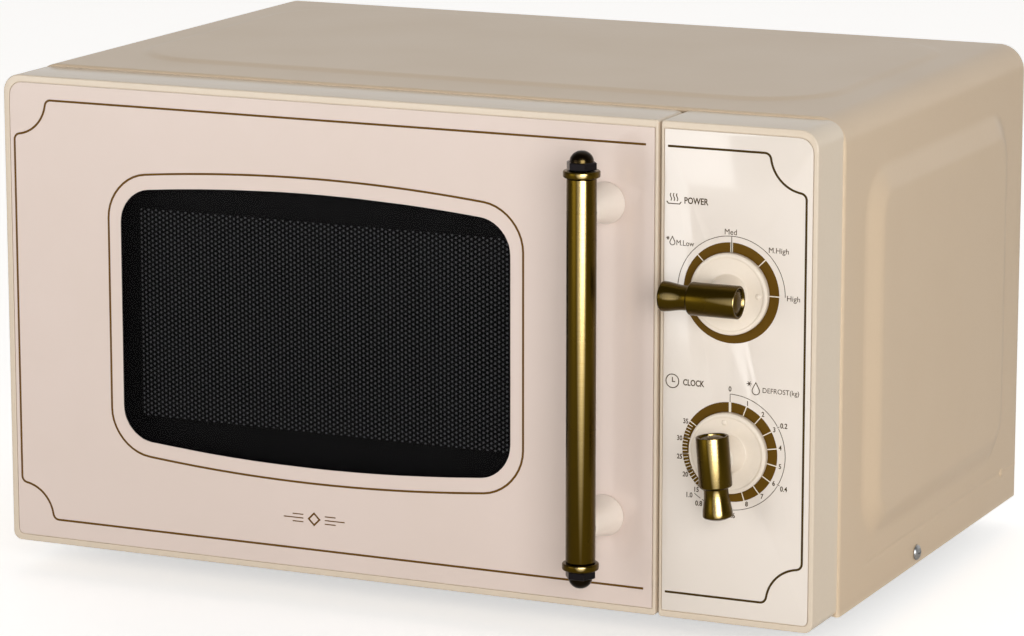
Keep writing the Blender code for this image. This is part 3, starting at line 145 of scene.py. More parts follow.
def soften(points: Sequence[tuple[float, float]], radius: float, steps: int = 4) -> Outline:
    """Round the inner corners of an open line, each limited by its two sides.

    Args:
        points: The line's corners.
        radius: The largest rounding.
        steps: Chords in each rounding.

    Returns:
        The line, with its two ends as they were.
    """
    softened = [points[0]]
    for before, here, after in zip(points, points[1:], points[2:]):
        to_before, to_after = Vector(before) - Vector(here), Vector(after) - Vector(here)
        half_angle = to_before.angle(to_after) / 2
        if half_angle > 1.55:
            softened.append(here)
            continue
        reach = min(radius / tan(half_angle), 0.45 * to_before.length, 0.45 * to_after.length)
        start = Vector(here) + to_before.normalized() * reach
        end = Vector(here) + to_after.normalized() * reach
        bisector = (to_before.normalized() + to_after.normalized()).normalized()
        centre = Vector(here) + bisector * reach / cos(half_angle)
        softened += short_arc(tuple(centre), tuple(start), tuple(end), steps)
    return [*softened, points[-1]]


def bracket(open_u: float, closed_u: float, low: float, high: float, scallop: float,
            fillet: float) -> Outline:
    """A stripe's line round three sides, with a hollow scallop at its two corners.

    Args:
        open_u: Where its two level runs end.
        closed_u: The upright run.
        low: The lower run.
        high: The upper run.
        scallop: Radius of a scallop about its corner.
        fillet: Radius where a scallop meets a run.

    Returns:
        The open line, from the upper run's end to the lower one's.
    """
    side = 1 if closed_u > open_u else -1
    reach = sqrt((scallop + fillet) ** 2 - fillet**2)
    corner = Vector((closed_u, high))
    first = Vector((closed_u - side * reach, high - fillet))
    second = Vector((closed_u - side * fillet, high - reach))
    touch = [corner + (c - corner).normalized() * scallop for c in (first, second)]
    upper = [(open_u, high)]
    upper += short_arc(tuple(first), (first.x, high), tuple(touch[0]), 6)
    upper += short_arc(tuple(corner), tuple(touch[0]), tuple(touch[1]), 16)[1:]
    upper += short_arc(tuple(second), tuple(touch[1]), (closed_u, second.y), 6)[1:]
    return upper + [(u, low + high - v) for u, v in reversed(upper)]


# Meshes

FRONT_TURN = Matrix.Rotation(radians(90), 4, "X")  # a drawing's (u, v, out) to (x, -y, z)


def new_object(name: str, bm: bmesh.types.BMesh, sharp: float = 30.0) -> bpy.types.Object:
    """Make an object of a bmesh, with its doubles merged and its faces turned outwards.

    Args:
        name: The object's name.
        bm: Its geometry, which is freed.
        sharp: Edges above this angle, in degrees, stay crisp.

    Returns:
        The object, linked into the scene.
    """
    bmesh.ops.remove_doubles(bm, verts=bm.verts, dist=1e-6)
    bmesh.ops.recalc_face_normals(bm, faces=bm.faces)
    mesh = bpy.data.meshes.new(name)
    bm.to_mesh(mesh)
    bm.free()
    mesh.shade_smooth()
    mesh.set_sharp_from_angle(angle=radians(sharp))
    made = bpy.data.objects.new(name, mesh)
    bpy.context.scene.collection.objects.link(made)
    return made


def evaluated_mesh(made: bpy.types.Object) -> bpy.types.Mesh:
    """The mesh that an object's curve or modifiers give."""
    bpy.context.view_layer.update()
    return bpy.data.meshes.new_from_object(made.evaluated_get(bpy.context.evaluated_depsgraph_get()))


def settle(made: bpy.types.Object, sharp: float = 30.0) -> bpy.types.Object:
    """Turn an object with modifiers, or a curve, into a plain mesh object at the origin.

    Args:
        made: The object, which is removed.
        sharp: Edges above this angle, in degrees, stay crisp.

    Returns:
        The plain object.
    """
    mesh, name = evaluated_mesh(made), made.name
    mesh.transform(made.matrix_world)
    mesh.name = name
    bpy.data.objects.remove(made)
    mesh.shade_smooth()
    mesh.set_sharp_from_angle(angle=radians(sharp))
    plain = bpy.data.objects.new(name, mesh)
    bpy.context.scene.collection.objects.link(plain)
    return plain


def plate(name: str, outlines: Sequence[Outline], front: float, rear: float,
          bevel: float = 0.0) -> bpy.types.Object:
    """A flat plate that faces forwards, with holes.

    Args:
        name: The object's name.
        outlines: The plate's outline in X and Z, then its holes.
        front: Y of its front.
        rear: Y of its rear.
        bevel: Size of its edges' rounding.

    Returns:
        The plate.
    """
    curve = bpy.data.curves.new(name, "CURVE")
    curve.dimensions, curve.fill_mode, curve.extrude = "2D", "BOTH", (rear - front) / 2
    for outline in outlines:
        spline = curve.splines.new("POLY")
        spline.points.add(len(outline) - 1)
        spline.use_cyclic_u = True
        for point, (u, v) in zip(spline.points, outline):
            point.co = (u, v, 0, 1)
    flat = bpy.data.objects.new(name, curve)
    bpy.context.scene.collection.objects.link(flat)
    mesh = evaluated_mesh(flat)
    bpy.data.objects.remove(flat)
    bm = bmesh.new()
    bm.from_mesh(mesh)
    bmesh.ops.remove_doubles(bm, verts=bm.verts, dist=1e-7)
    upright = Matrix.Translation((0, (front + rear) / 2, 0)) @ FRONT_TURN
    bmesh.ops.transform(bm, matrix=upright, verts=bm.verts)
    bmesh.ops.dissolve_limit(bm, angle_limit=radians(1), verts=bm.verts, edges=bm.edges, delimit={"NORMAL"})
    if bevel:
        edges = [e for e in bm.edges if e.is_manifold and e.calc_face_angle() > radians(50)]
        bmesh.ops.bevel(bm, geom=edges, offset=bevel, segments=2, profile=0.5, affect="EDGES")
    return new_object(name, bm)


def loft(bm: bmesh.types.BMesh, rings: Sequence[Sequence[Vector]], closed: bool = True) -> None:
    """Join rings of points with faces.

    Args:
        bm: Where the faces go.
        rings: Rings with the same number of points, each closed on itself.
        closed: Whether the last ring joins the first one.
    """
    rows = [[bm.verts.new(p) for p in ring] for ring in rings]
    for here, there in zip(rows, rows[1:] + (rows[:1] if closed else [])):
        for i, _ in enumerate(here):
            j = (i + 1) % len(here)
            bm.faces.new((here[i], here[j], there[j], there[i]))


def turned(bm: bmesh.types.BMesh, profile: Profile, at: Sequence[float], axis: Sequence[float],
           sides: int = 48) -> None:
    """Turn a profile about an axis.

    Args:
        bm: Where the faces go.
        profile: Points of (radius, height). It closes on itself if its ends meet.
        at: A point on the axis, at height 0.
        axis: The axis' direction.
        sides: Number of flats.
    """
    turn = Vector((0, 0, 1)).rotation_difference(Vector(axis)).to_matrix().to_4x4()
    place = Matrix.Translation(Vector(at)) @ turn
    rows = []
    for radius, height in profile:
        if radius < 1e-7:
            rows.append([bm.verts.new(place @ Vector((0, 0, height)))])
        else:
            angles = [2 * pi * i / sides for i in range(sides)]
            spots = [place @ Vector((radius * cos(a), radius * sin(a), height)) for a in angles]
            rows.append([bm.verts.new(spot) for spot in spots])
    for here, there in zip(rows, rows[1:]):
        for i in range(sides):
            j = (i + 1) % sides
            corners = [here[i % len(here)], here[j % len(here)], there[j % len(there)], there[i % len(there)]]
            distinct = list(dict.fromkeys(corners))
            if len(distinct) > 2:
                bm.faces.new(distinct)


def ribbon(bm: bmesh.types.BMesh, line: Outline, width: float, face: float, closed: bool = False) -> None:
    """A thin printed stripe on a forward face.

    Args:
        bm: Where the faces go.
        line: Its middle line in X and Z.
        width: Its width.
        face: Y of the surface it lies on.
        closed: Whether the line closes on itself.
    """
    rows = []
    for i, here in enumerate(line):
        before = line[i - 1] if i or closed else here
        after = line[(i + 1) % len(line)] if i + 1 < len(line) or closed else here
        first = Vector(here) - Vector(before) if before != here else Vector(after) - Vector(here)
        second = Vector(after) - Vector(here) if after != here else first
        along = (first.normalized() + second.normalized()).normalized()
        mitre = width / 2 / max(0.5, along.dot(first.normalized()))
        across = Vector((-along.y, along.x)) * mitre
        edges = [Vector(here) + across, Vector(here) - across]
        rows.append([bm.verts.new((u, y, v)) for u, v in edges for y in (face - INK_THICKNESS, face)])
    pairs = list(zip(rows, rows[1:] + rows[:1])) if closed else list(zip(rows, rows[1:]))
    for (a, b, c, d), (e, f, g, h) in pairs:
        for corners in ((a, e, g, c), (b, d, h, f), (a, b, f, e), (c, g, h, d)):
            bm.faces.new(corners)
    if not closed:
        for a, b, c, d in (rows[0], rows[-1]):
            bm.faces.new((a, b, d, c))


def block(bm: bmesh.types.BMesh, low: Sequence[float], high: Sequence[float]) -> None:
    """A box between two corners."""
    size, middle = Vector(high) - Vector(low), (Vector(high) + Vector(low)) / 2
    bmesh.ops.create_cube(bm, size=1, matrix=Matrix.Translation(middle) @ Matrix.Diagonal((*size, 1)))


def lettering(bm: bmesh.types.BMesh, words: str, height: float, at: tuple[float, float], face: float,
              width: float = 0.0) -> None:
    """Generic words or numbers printed on a forward face.

    Args:
        bm: Where the faces go.
        words: What they say.
        height: Height of a capital.
        at: X and Z of their middle.
        face: Y of the surface they lie on.
        width: Their whole width, or 0 for somewhat narrow letters.
    """
    curve = bpy.data.curves.new("lettering", "FONT")
    curve.body, curve.extrude, curve.resolution_u = words, 0.5, 3
    curve.offset = BOLD_OFFSET if words == words.upper() else 0.0
    text = bpy.data.objects.new("lettering", curve)
    bpy.context.scene.collection.objects.link(text)
    mesh = evaluated_mesh(text)
    xs = [v.co.x for v in mesh.vertices]
    middle, scale = (min(xs) + max(xs)) / 2, height / 0.69
    across = width / (max(xs) - min(xs)) if width else scale * 0.86
    size = Matrix.Diagonal((across, scale, INK_THICKNESS, 1))
    place = Matrix.Translation((at[0], face - INK_THICKNESS / 2, at[1] - height / 2))
    mesh.transform(place @ FRONT_TURN @ size @ Matrix.Translation((-middle, 0, 0)))
    bpy.data.objects.remove(text)
    bm.from_mesh(mesh)
    bpy.data.meshes.remove(mesh)


def cut_boxes(made: bpy.types.Object,
              boxes: Iterable[tuple[Sequence[float], Sequence[float]]]) -> bpy.types.Object:
    """Cut boxes out of an object.

    Args:
        made: The object.
        boxes: Corner pairs.

    Returns:
        The cut object.
    """
    bm = bmesh.new()
    for low, high in boxes:
        block(bm, low, high)
    tool = new_object("box_cutter", bm)
    step = made.modifiers.new("cut", "BOOLEAN")
    step.operation, step.solver, step.object = "DIFFERENCE", "EXACT", tool
    plain = settle(made)
    bpy.data.objects.remove(tool)
    return plain


# Node trees


def node(tree: bpy.types.NodeTree, kind: str, settings: dict | None = None,
         links: dict | None = None) -> bpy.types.Node:
    """Add a node.

    Args:
        tree: Where it goes.
        kind: Its type.
        settings: Its properties, or values of its inputs by name or number.
        links: Output sockets that feed its inputs, by name or number.

    Returns:
        The node.
    """
    made = tree.nodes.new(kind)
    for name, value in (settings or {}).items():
        if isinstance(name, str) and name not in made.inputs and hasattr(made, name):
            setattr(made, name, value)
        else:
            made.inputs[name].default_value = value
    for name, socket in (links or {}).items():
        tree.links.new(socket, made.inputs[name])
    return made


def linear(code: str) -> tuple[float, float, float, float]:
    """A colour's linear values.

    Args:
        code: sRGB hex, such as "e0d2c4".

    Returns:
        Red, green, blue and a full alpha.
    """
    values = [int(code[i:i + 2], 16) / 255 for i in (0, 2, 4)]
    return (*(v / 12.92 if v <= 0.04045 else ((v + 0.055) / 1.055) ** 2.4 for v in values), 1.0)


class Texture(Enum):
    """How a surface was made, which sets its finest pattern."""

    PEEL = "sprayed or moulded, with a faint orange peel"
    BRUSHED = "brushed round one axis"
    SPANGLE = "zinc crystals"
    SPECKLE = "fired enamel with fine specks"
    LAYERS = "stacked sheets or wound wire"
    FLAKE = "pressed flakes"


@dataclass(frozen=True)
class Finish:
    """A procedural material, named for what the real one is.

    Attributes:
        name: The material's common name.
        colour: Its main colour, sRGB hex.
        shade: Its second colour, which the pattern and soiling bring in.
        texture: How its surface was made.
        grain: Size of the finest pattern, in metres.
        relief: Depth of that pattern, in metres.
        blend: Share of the second colour in the pattern.
        roughness: Its lower and upper roughness.
        metallic: 1 for bare metal.
        coat: Strength of a clear layer on top.
        ior: Refractive index of what is not metal.
        alpha: Opacity, for glass and film.
        wear: Colour of rubbed edges, or none.
        patina: Colour of painted shade that darkens the surface where it turns away from the eye, leaving a
            painted highlight where it faces the eye, or none.
        stretch: Axis that a brushed or layered pattern changes along.
    """

    name: str
    colour: str
    shade: str
    texture: Texture = Texture.PEEL
    grain: float = 1.2 * MM
    relief: float = 0.004 * MM
    blend: float = 0.35
    roughness: tuple[float, float] = (0.2, 0.28)
    metallic: float = 0.0
    coat: float = 0.0
    ior: float = 1.5
    alpha: float = 1.0
    wear: str = ""
    patina: str = ""
    stretch: str = "Z"

    @cache
    def material(self) -> bpy.types.Material:
        """The Blender material, made once."""
        made = bpy.data.materials.new(self.name)
        made.use_nodes = True
        tree = made.node_tree
        shader = tree.nodes["Principled BSDF"]
        fixed = {"Metallic": self.metallic, "Coat Weight": self.coat, "Coat Roughness": 0.06,
                 "Alpha": self.alpha}
        if not self.metallic:
            fixed["IOR"] = self.ior
        for name, value in fixed.items():
            shader.inputs[name].default_value = value
        place = node(tree, "ShaderNodeTexCoord").outputs["Object"]
        pattern = self.pattern(tree, place)
        soil = node(tree, "ShaderNodeTexNoise", {"Scale": 1 / (55 * MM), "Detail": 3.0}, {"Vector": place})
        share = node(tree, "ShaderNodeMath", {"operation": "MULTIPLY", 1: self.blend}, {0: pattern})
        soiled = node(tree, "ShaderNodeMapRange", {"From Min": 0.45, "From Max": 0.75,
                                                  "To Max": self.blend * 0.35},
                      {"Value": soil.outputs[0]})
        both = node(tree, "ShaderNodeMath", {"operation": "ADD", "use_clamp": True},
                    {0: share.outputs[0], 1: soiled.outputs[0]})
        colour = node(tree, "ShaderNodeMix", {"data_type": "RGBA", 6: linear(self.colour),
                                              7: linear(self.shade)},
                      {0: both.outputs[0]}).outputs[2]
        # Painted shade: the colour darkens as the surface turns away from the eye, which leaves a painted
        # highlight where it faces the eye; film holds the share of this painted shade
        if self.patina:
            facing = node(tree, "ShaderNodeLayerWeight", {"Blend": 0.5}).outputs["Facing"]
            film = node(tree, "ShaderNodeMapRange", {"From Min": 0.01, "From Max": 0.07,
                        "interpolation_type": "SMOOTHSTEP"}, {"Value": facing})
            colour = node(tree, "ShaderNodeMix", {"data_type": "RGBA", 7: linear(self.patina)},
                          {0: film.outputs[0], 6: colour}).outputs[2]
        if self.wear:
            point = node(tree, "ShaderNodeNewGeometry").outputs["Pointiness"]
            rubbed = node(tree, "ShaderNodeMapRange", {"From Min": 0.53, "From Max": 0.62, "To Max": 0.5},
                          {"Value": point})
            colour = node(tree, "ShaderNodeMix", {"data_type": "RGBA", 7: linear(self.wear)},
                          {0: rubbed.outputs[0], 6: colour}).outputs[2]
        rough = node(tree, "ShaderNodeMapRange", {"To Min": self.roughness[0], "To Max": self.roughness[1]},
                     {"Value": soil.outputs[0]})
        bump = node(tree, "ShaderNodeBump", {"Strength": 1.0, "Distance": self.relief}, {"Height": pattern})
        tree.links.new(colour, shader.inputs["Base Color"])
        tree.links.new(rough.outputs[0], shader.inputs["Roughness"])
        tree.links.new(bump.outputs[0], shader.inputs["Normal"])
        return made

    def pattern(self, tree: bpy.types.NodeTree, place: bpy.types.NodeSocket) -> bpy.types.NodeSocket:
        """The finest pattern, from 0 to 1.

        Args:
            tree: The material's nodes.
            place: Where a point is on the object, in metres.

        Returns:
            The pattern's output.
        """
        fine = 1 / self.grain
        if self.texture in (Texture.BRUSHED, Texture.LAYERS):
            rest = 0.03 if self.texture is Texture.BRUSHED else 0.0
            scale = [1.0 if axis == self.stretch else rest for axis in "XYZ"]
            stretched = node(tree, "ShaderNodeMapping", {"Scale": scale}, {"Vector": place}).outputs[0]
            if self.texture is Texture.LAYERS:
                return node(tree, "ShaderNodeTexWave", {"Scale": fine / 2, "bands_direction": self.stretch},
                            {"Vector": stretched}).outputs["Fac"]
            settings = {"Scale": fine, "Detail": 2.0}
            return node(tree, "ShaderNodeTexNoise", settings, {"Vector": stretched}).outputs[0]
        if self.texture in (Texture.SPANGLE, Texture.FLAKE):
            cells = node(tree, "ShaderNodeTexVoronoi", {"Scale": fine}, {"Vector": place})
            return node(tree, "ShaderNodeSeparateColor", None, {0: cells.outputs["Color"]}).outputs[0]
        if self.texture is Texture.SPECKLE:
            specks = node(tree, "ShaderNodeTexNoise", {"Scale": fine, "Detail": 1.0}, {"Vector": place})
            return node(tree, "ShaderNodeMapRange", {"From Min": 0.62, "From Max": 0.7},
                        {"Value": specks.outputs[0]}).outputs[0]
        return node(tree, "ShaderNodeTexNoise", {"Scale": fine, "Detail": 2.0}, {"Vector": place}).outputs[0]


# Injection-moulded ABS: glossy, with the mould's faint waviness and a slightly darker tone that varies with it
CREAM_ABS = Finish("moulded_cream_abs", "e2d2bd", "cbb79e", grain=2.5 * MM, relief=0.006 * MM, blend=0.18,
                   roughness=(0.16, 0.24), wear="f6e8d2")
# A paler copy of the cream ABS for the handle posts, with painted light standing in for the light that falls
# on them, so that they stand out from the door
LIT_POST_ABS = replace(CREAM_ABS, name="moulded_pale_abs", colour="fcf0e4", shade="f2e2d0")
# Back-painted acrylic sheet: a flat, mirror-clear front over a pinkish cream coat
CREAM_SHEET = Finish("back_painted_cream_acrylic", "e6d4ca", "dbc9ba", grain=40 * MM,
                     relief=0.01 * MM, blend=0.3, roughness=(0.12, 0.18), coat=0.6)
# The same acrylic over a paler, more neutral ivory coat
PANEL_SHEET = Finish("back_painted_ivory_acrylic", "eee4da", "e0d2bf", grain=40 * MM,
                     relief=0.01 * MM, blend=0.3, roughness=(0.12, 0.18), coat=0.6)
# Satin ABS of the dials, softer in gloss than the mouldings
KNOB_ABS = Finish("moulded_ivory_abs", "f6e9d8", "e6d6be", grain=2 * MM, relief=0.004 * MM, blend=0.2,
                  roughness=(0.2, 0.3), wear="f8ecd8")
# Baked powder paint on folded sheet: satin gloss with a fine orange peel
POWDER_PAINT = Finish("powder_painted_steel", "dfc8ab", "d0b797", grain=1.6 * MM, relief=0.008 * MM,
                      blend=0.2, roughness=(0.3, 0.38), ior=1.4, wear="f2e4cc")
# The same paint on the plate round the cavity, greyer and flatter
PLATE_PAINT = Finish("painted_front_plate", "cfc0a9", "b9a98f", grain=1.5 * MM, relief=0.008 * MM,
                     roughness=(0.28, 0.36), coat=0.2)
# Plated brass, brushed back so that fine lines run round it; painted shade darkens it where it turns away from
# the eye, which leaves a painted highlight down the face turned to it
PAINTED_SHADE_BRASS = Finish("antique_brass_plating", "ecd49a", "c8a552", Texture.BRUSHED, grain=0.35 * MM,
                       relief=0.006 * MM, blend=0.6, roughness=(0.22, 0.32), metallic=1.0, patina="52400e")
# The same brass on a lever that lies level, with its brushing drawn along it
LEVER_BRASS = replace(PAINTED_SHADE_BRASS, name="antique_brass_lever", stretch="X")
# Brass blackened nearly all over, with gold left where it is rubbed, and painted shade that darkens it further
# where it turns away from the eye
DARK_BRASS = Finish("blackened_brass", "6b5a34", "2c241a", Texture.BRUSHED, grain=0.5 * MM, relief=0.003 * MM,
                    blend=0.7, roughness=(0.2, 0.3), metallic=1.0, wear="a58a4c", patina="231b10")
# Blackened steel of the hexagons, almost without colour
BLACK_NUT = Finish("blackened_steel", "0f0d12", "08070a", Texture.BRUSHED, grain=0.5 * MM, relief=0.003 * MM,
                   blend=0.6, roughness=(0.25, 0.35), metallic=1.0, wear="3a3638")
# Metallic screen ink: dull gold lines with a slight grain
GOLD_INK = Finish("gold_screen_ink", "6e4c14", "4e3206", grain=0.4 * MM, relief=0.002 * MM, blend=0.5,
                  roughness=(0.5, 0.6), ior=1.25)
# The wider dial rings in a browner, flatter ink
BRONZE_INK = Finish("bronze_screen_ink", "684a0c", "4e3604", grain=0.4 * MM, relief=0.002 * MM, blend=0.5,
                    roughness=(0.5, 0.6), ior=1.2)
# Dark brown ink of the captions and fine lines
BROWN_INK = Finish("brown_screen_ink", "473307", "332303", grain=0.4 * MM, relief=0.002 * MM, blend=0.5,
                   roughness=(0.5, 0.6), ior=1.25)
# Ivory ink of the gaps between the ring marks
PALE_INK = Finish("ivory_screen_ink", "efe6d4", "ddd0b8", grain=0.4 * MM, relief=0.002 * MM,
                  roughness=(0.35, 0.45))
# Tempered glass with a smoke tint: deep reflections over what little shows through
SMOKED_GLASS = Finish("smoked_tempered_glass", "060506", "0a090b", grain=60 * MM, relief=0.01 * MM,
                      roughness=(0.03, 0.05), ior=1.2, alpha=0.38)
# Pressed clear glass: a pale green edge and slightly wavy faces
CLEAR_GLASS = Finish("pressed_clear_glass", "dcebe6", "c9ddd6", grain=12 * MM, relief=0.02 * MM,
                     roughness=(0.03, 0.06), alpha=0.35)
# Pale matt film inside the screen, which its holes show as light points
FILM = Finish("screen_film", "b4b4ba", "9c9ca4", grain=20 * MM, relief=0.01 * MM,
              roughness=(0.5, 0.6), alpha=0.85)
# Black vitreous enamel on steel: glossy, with tiny specks
BLACK_ENAMEL = Finish("black_enamelled_steel", "070708", "121214", Texture.SPECKLE, grain=1.2 * MM,
                      relief=0.004 * MM, roughness=(0.4, 0.5), ior=1.3)
# Grey enamel of the cavity with darker flecks
CAVITY_ENAMEL = Finish("grey_speckled_enamel", "cfcdc6", "8f8d88", Texture.SPECKLE, grain=1.4 * MM,
                       relief=0.01 * MM, blend=0.8, roughness=(0.25, 0.35), coat=0.2)
# Zinc-plated sheet: pale grey crystals of uneven gloss
ZINC_STEEL = Finish("zinc_plated_steel", "b4b6b8", "999c9f", Texture.SPANGLE, grain=3.5 * MM,
                    relief=0.002 * MM, blend=0.45, roughness=(0.28, 0.45), metallic=1.0, wear="e6e7e8")
# Varnished laminations: thin dark lines between grey sheets
LAMINATED_STEEL = Finish("laminated_core_steel", "6f6a66", "2d2a28", Texture.LAYERS, grain=1.0 * MM,
                         relief=0.1 * MM, blend=0.8, roughness=(0.35, 0.5), metallic=0.9, stretch="Y")
# Drawn aluminium: bright, with fine lines along the draw
ALUMINIUM = Finish("drawn_aluminium", "c9cacc", "a3a5a8", Texture.BRUSHED, grain=0.6 * MM, relief=0.004 * MM,
                   blend=0.5, roughness=(0.25, 0.4), metallic=1.0, wear="f2f2f2")
# Lacquered winding wire: red-brown turns with dark gaps
COPPER_WIRE = Finish("lacquered_copper_wire", "b5622f", "5c2610", Texture.LAYERS, grain=1.3 * MM,
                     relief=0.2 * MM, blend=0.7, roughness=(0.2, 0.35), metallic=0.9)
# Glass-filled nylon: matt black with a faint grain
BLACK_NYLON = Finish("glass_filled_black_nylon", "1b1b1c", "2a2a2c", grain=0.8 * MM, relief=0.03 * MM,
                     roughness=(0.4, 0.55), wear="3a3a3c")
# Moulded nylon: milky white, a little warm
WHITE_NYLON = Finish("moulded_white_nylon", "e4e2da", "cfccc0", grain=0.9 * MM, relief=0.015 * MM,
                     roughness=(0.35, 0.5), wear="f5f4ee")
# Pressed mica: brown flakes of uneven gloss
MICA = Finish("pressed_mica", "8f7a58", "5d4d35", Texture.FLAKE, grain=2.2 * MM, relief=0.02 * MM, blend=0.8,
              roughness=(0.35, 0.55))
# Moulded rubber: dull black, with a dusty surface
RUBBER = Finish("moulded_black_rubber", "171717", "262626", grain=0.7 * MM, relief=0.04 * MM,
                roughness=(0.6, 0.8))
# Matt white paper under the oven
FLOOR = Finish("studio_paper", "f4f2ef", "efedea", grain=2 * MM, relief=0.02 * MM, blend=0.2,
               roughness=(0.7, 0.8))

CARRIED: dict[Finish, tuple[str, ...]] = {
    ZINC_STEEL: ("base_plate", "back_plate", "upper_hinge_plate", "lower_hinge_plate", "waveguide",
                 "fan_motor",
                 "turntable_motor", "latch_spring"),
    PLATE_PAINT: ("front_plate",),
    CAVITY_ENAMEL: ("cavity_wrap", "cavity_floor", "cavity_rear"),
    MICA: ("waveguide_cover",),
    WHITE_NYLON: ("timer_unit", "latch_board", "line_filter", "door_latch", "turntable_coupler"),
    BLACK_NYLON: ("cord_gland", "fan_shroud", "fan_blade", "door_switch_lower", "door_switch_upper",
                  "door_inner_cover"),
    ALUMINIUM: ("magnetron", "capacitor"),
    LAMINATED_STEEL: ("transformer_core",),
    COPPER_WIRE: ("transformer_winding",),
    CLEAR_GLASS: ("oven_lamp",),
    SMOKED_GLASS: ("door_glass",),
    BLACK_ENAMEL: ("door_choke",),
}


def present(made: bpy.types.Object, finish: Finish, body: str,
            replaces: Iterable[str] = ()) -> None:
    """Dress a piece, put it on its body and report it.

    Args:
        made: The piece.
        finish: Its material.
        body: The body it rides on.
        replaces: The nodes that it stands for.
    """
    made.data.materials.clear()
    made.data.materials.append(finish.material())
    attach(made, body)
    if replaces:
        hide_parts(*replaces)
    LOG.info("%s: %d faces, %s, on %s", made.name, len(made.data.polygons), finish.name, body)


# Repeated shapes, by Geometry Nodes


class Repeater:
    """A Geometry Nodes tree with named inputs, run once and turned into a plain mesh."""

    def __init__(self, name: str, inputs: dict[str, str]) -> None:
        """Start a tree.

        Args:
            name: The tree's name.
            inputs: Socket types by input name.
        """
        self.tree = bpy.data.node_groups.new(name, "GeometryNodeTree")
        self.sockets = {
            label: self.tree.interface.new_socket(label, in_out="INPUT", socket_type=kind)
            for label, kind in inputs.items()
        }
        self.tree.interface.new_socket("Geometry", in_out="OUTPUT", socket_type="NodeSocketGeometry")
        self.inputs = self.tree.nodes.new("NodeGroupInput").outputs

    def maths(self, operation: str, first: bpy.types.NodeSocket | float,
              second: bpy.types.NodeSocket | float) -> bpy.types.NodeSocket:
        """Join two values, each a socket or a number, by one operation."""
        made = node(self.tree, "ShaderNodeMath", {"operation": operation})
        for i, value in enumerate((first, second)):
            if isinstance(value, bpy.types.NodeSocket):
                self.tree.links.new(value, made.inputs[i])
            else:
                made.inputs[i].default_value = value
        return made.outputs[0]

    def finish(self, instances: bpy.types.NodeSocket, weld: bool = False) -> None:
        """End the tree: real geometry with its material.

        Args:
            instances: What the tree has made.
            weld: Whether neighbours that touch are merged.
        """
        last = node(self.tree, "GeometryNodeRealizeInstances", None, {0: instances}).outputs[0]
        if weld:
            merged = node(self.tree, "GeometryNodeMergeByDistance", {"Distance": 0.01 * MM}, {0: last})
            last = merged.outputs[0]
        dressed = node(self.tree, "GeometryNodeSetMaterial", None,
                       {0: last, "Material": self.inputs["Material"]})
        node(self.tree, "NodeGroupOutput", None, {0: dressed.outputs[0]})

    def make(self, name: str, values: dict, sharp: float = 30.0) -> bpy.types.Object:
        """Run the tree with one set of sizes.

        Args:
            name: The piece's name.
            values: A value for each named input.
            sharp: Edges above this angle, in degrees, stay crisp.

        Returns:
            The plain mesh object.
        """
        carrier = bpy.data.objects.new(name, bpy.data.meshes.new(name))
        step = carrier.modifiers.new("repeat", "NODES")
        step.node_group = self.tree
        for label, value in values.items():
            step[self.sockets[label].identifier] = value
        bpy.context.scene.collection.objects.link(carrier)
        return settle(carrier, sharp)


@cache
def lattice() -> Repeater:
    """A tree that repeats a shape in upright columns, each second one shifted."""
    made = Repeater("lattice", {
        "Shape": "NodeSocketObject", "Columns": "NodeSocketInt", "Rows": "NodeSocketInt",
        "Column Pitch": "NodeSocketFloat", "Row Pitch": "NodeSocketFloat", "Shift": "NodeSocketFloat",
        "Centre": "NodeSocketVector", "Material": "NodeSocketMaterial",
    })
    tree, given, maths = made.tree, made.inputs, made.maths
    index = node(tree, "GeometryNodeInputIndex").outputs[0]
    column = maths("FLOOR", maths("DIVIDE", maths("ADD", index, 0.5), given["Rows"]), 0.0)
    row = maths("SUBTRACT", index, maths("MULTIPLY", column, given["Rows"]))
    middle_column = maths("MULTIPLY", maths("SUBTRACT", given["Columns"], 1.0), 0.5)
    middle_row = maths("MULTIPLY", maths("SUBTRACT", given["Rows"], 1.0), 0.5)
    x = maths("MULTIPLY", maths("SUBTRACT", column, middle_column), given["Column Pitch"])
    level = maths("MULTIPLY", maths("SUBTRACT", row, middle_row), given["Row Pitch"])
    z = maths("ADD", level, maths("MULTIPLY", maths("MODULO", column, 2.0), given["Shift"]))
    offset = node(tree, "ShaderNodeCombineXYZ", None, {"X": x, "Z": z}).outputs[0]
    spot = node(tree, "ShaderNodeVectorMath", {"operation": "ADD"},
                {0: offset, 1: given["Centre"]}).outputs[0]
    points = node(tree, "GeometryNodePoints", None,
                  {"Count": maths("MULTIPLY", given["Columns"], given["Rows"]), "Position": spot}).outputs[0]
    shape = node(tree, "GeometryNodeObjectInfo", None, {"Object": given["Shape"]}).outputs["Geometry"]
    spread = node(tree, "GeometryNodeInstanceOnPoints", None,
                  {"Points": points, "Instance": shape}).outputs[0]
    made.finish(spread, weld=True)
    return made


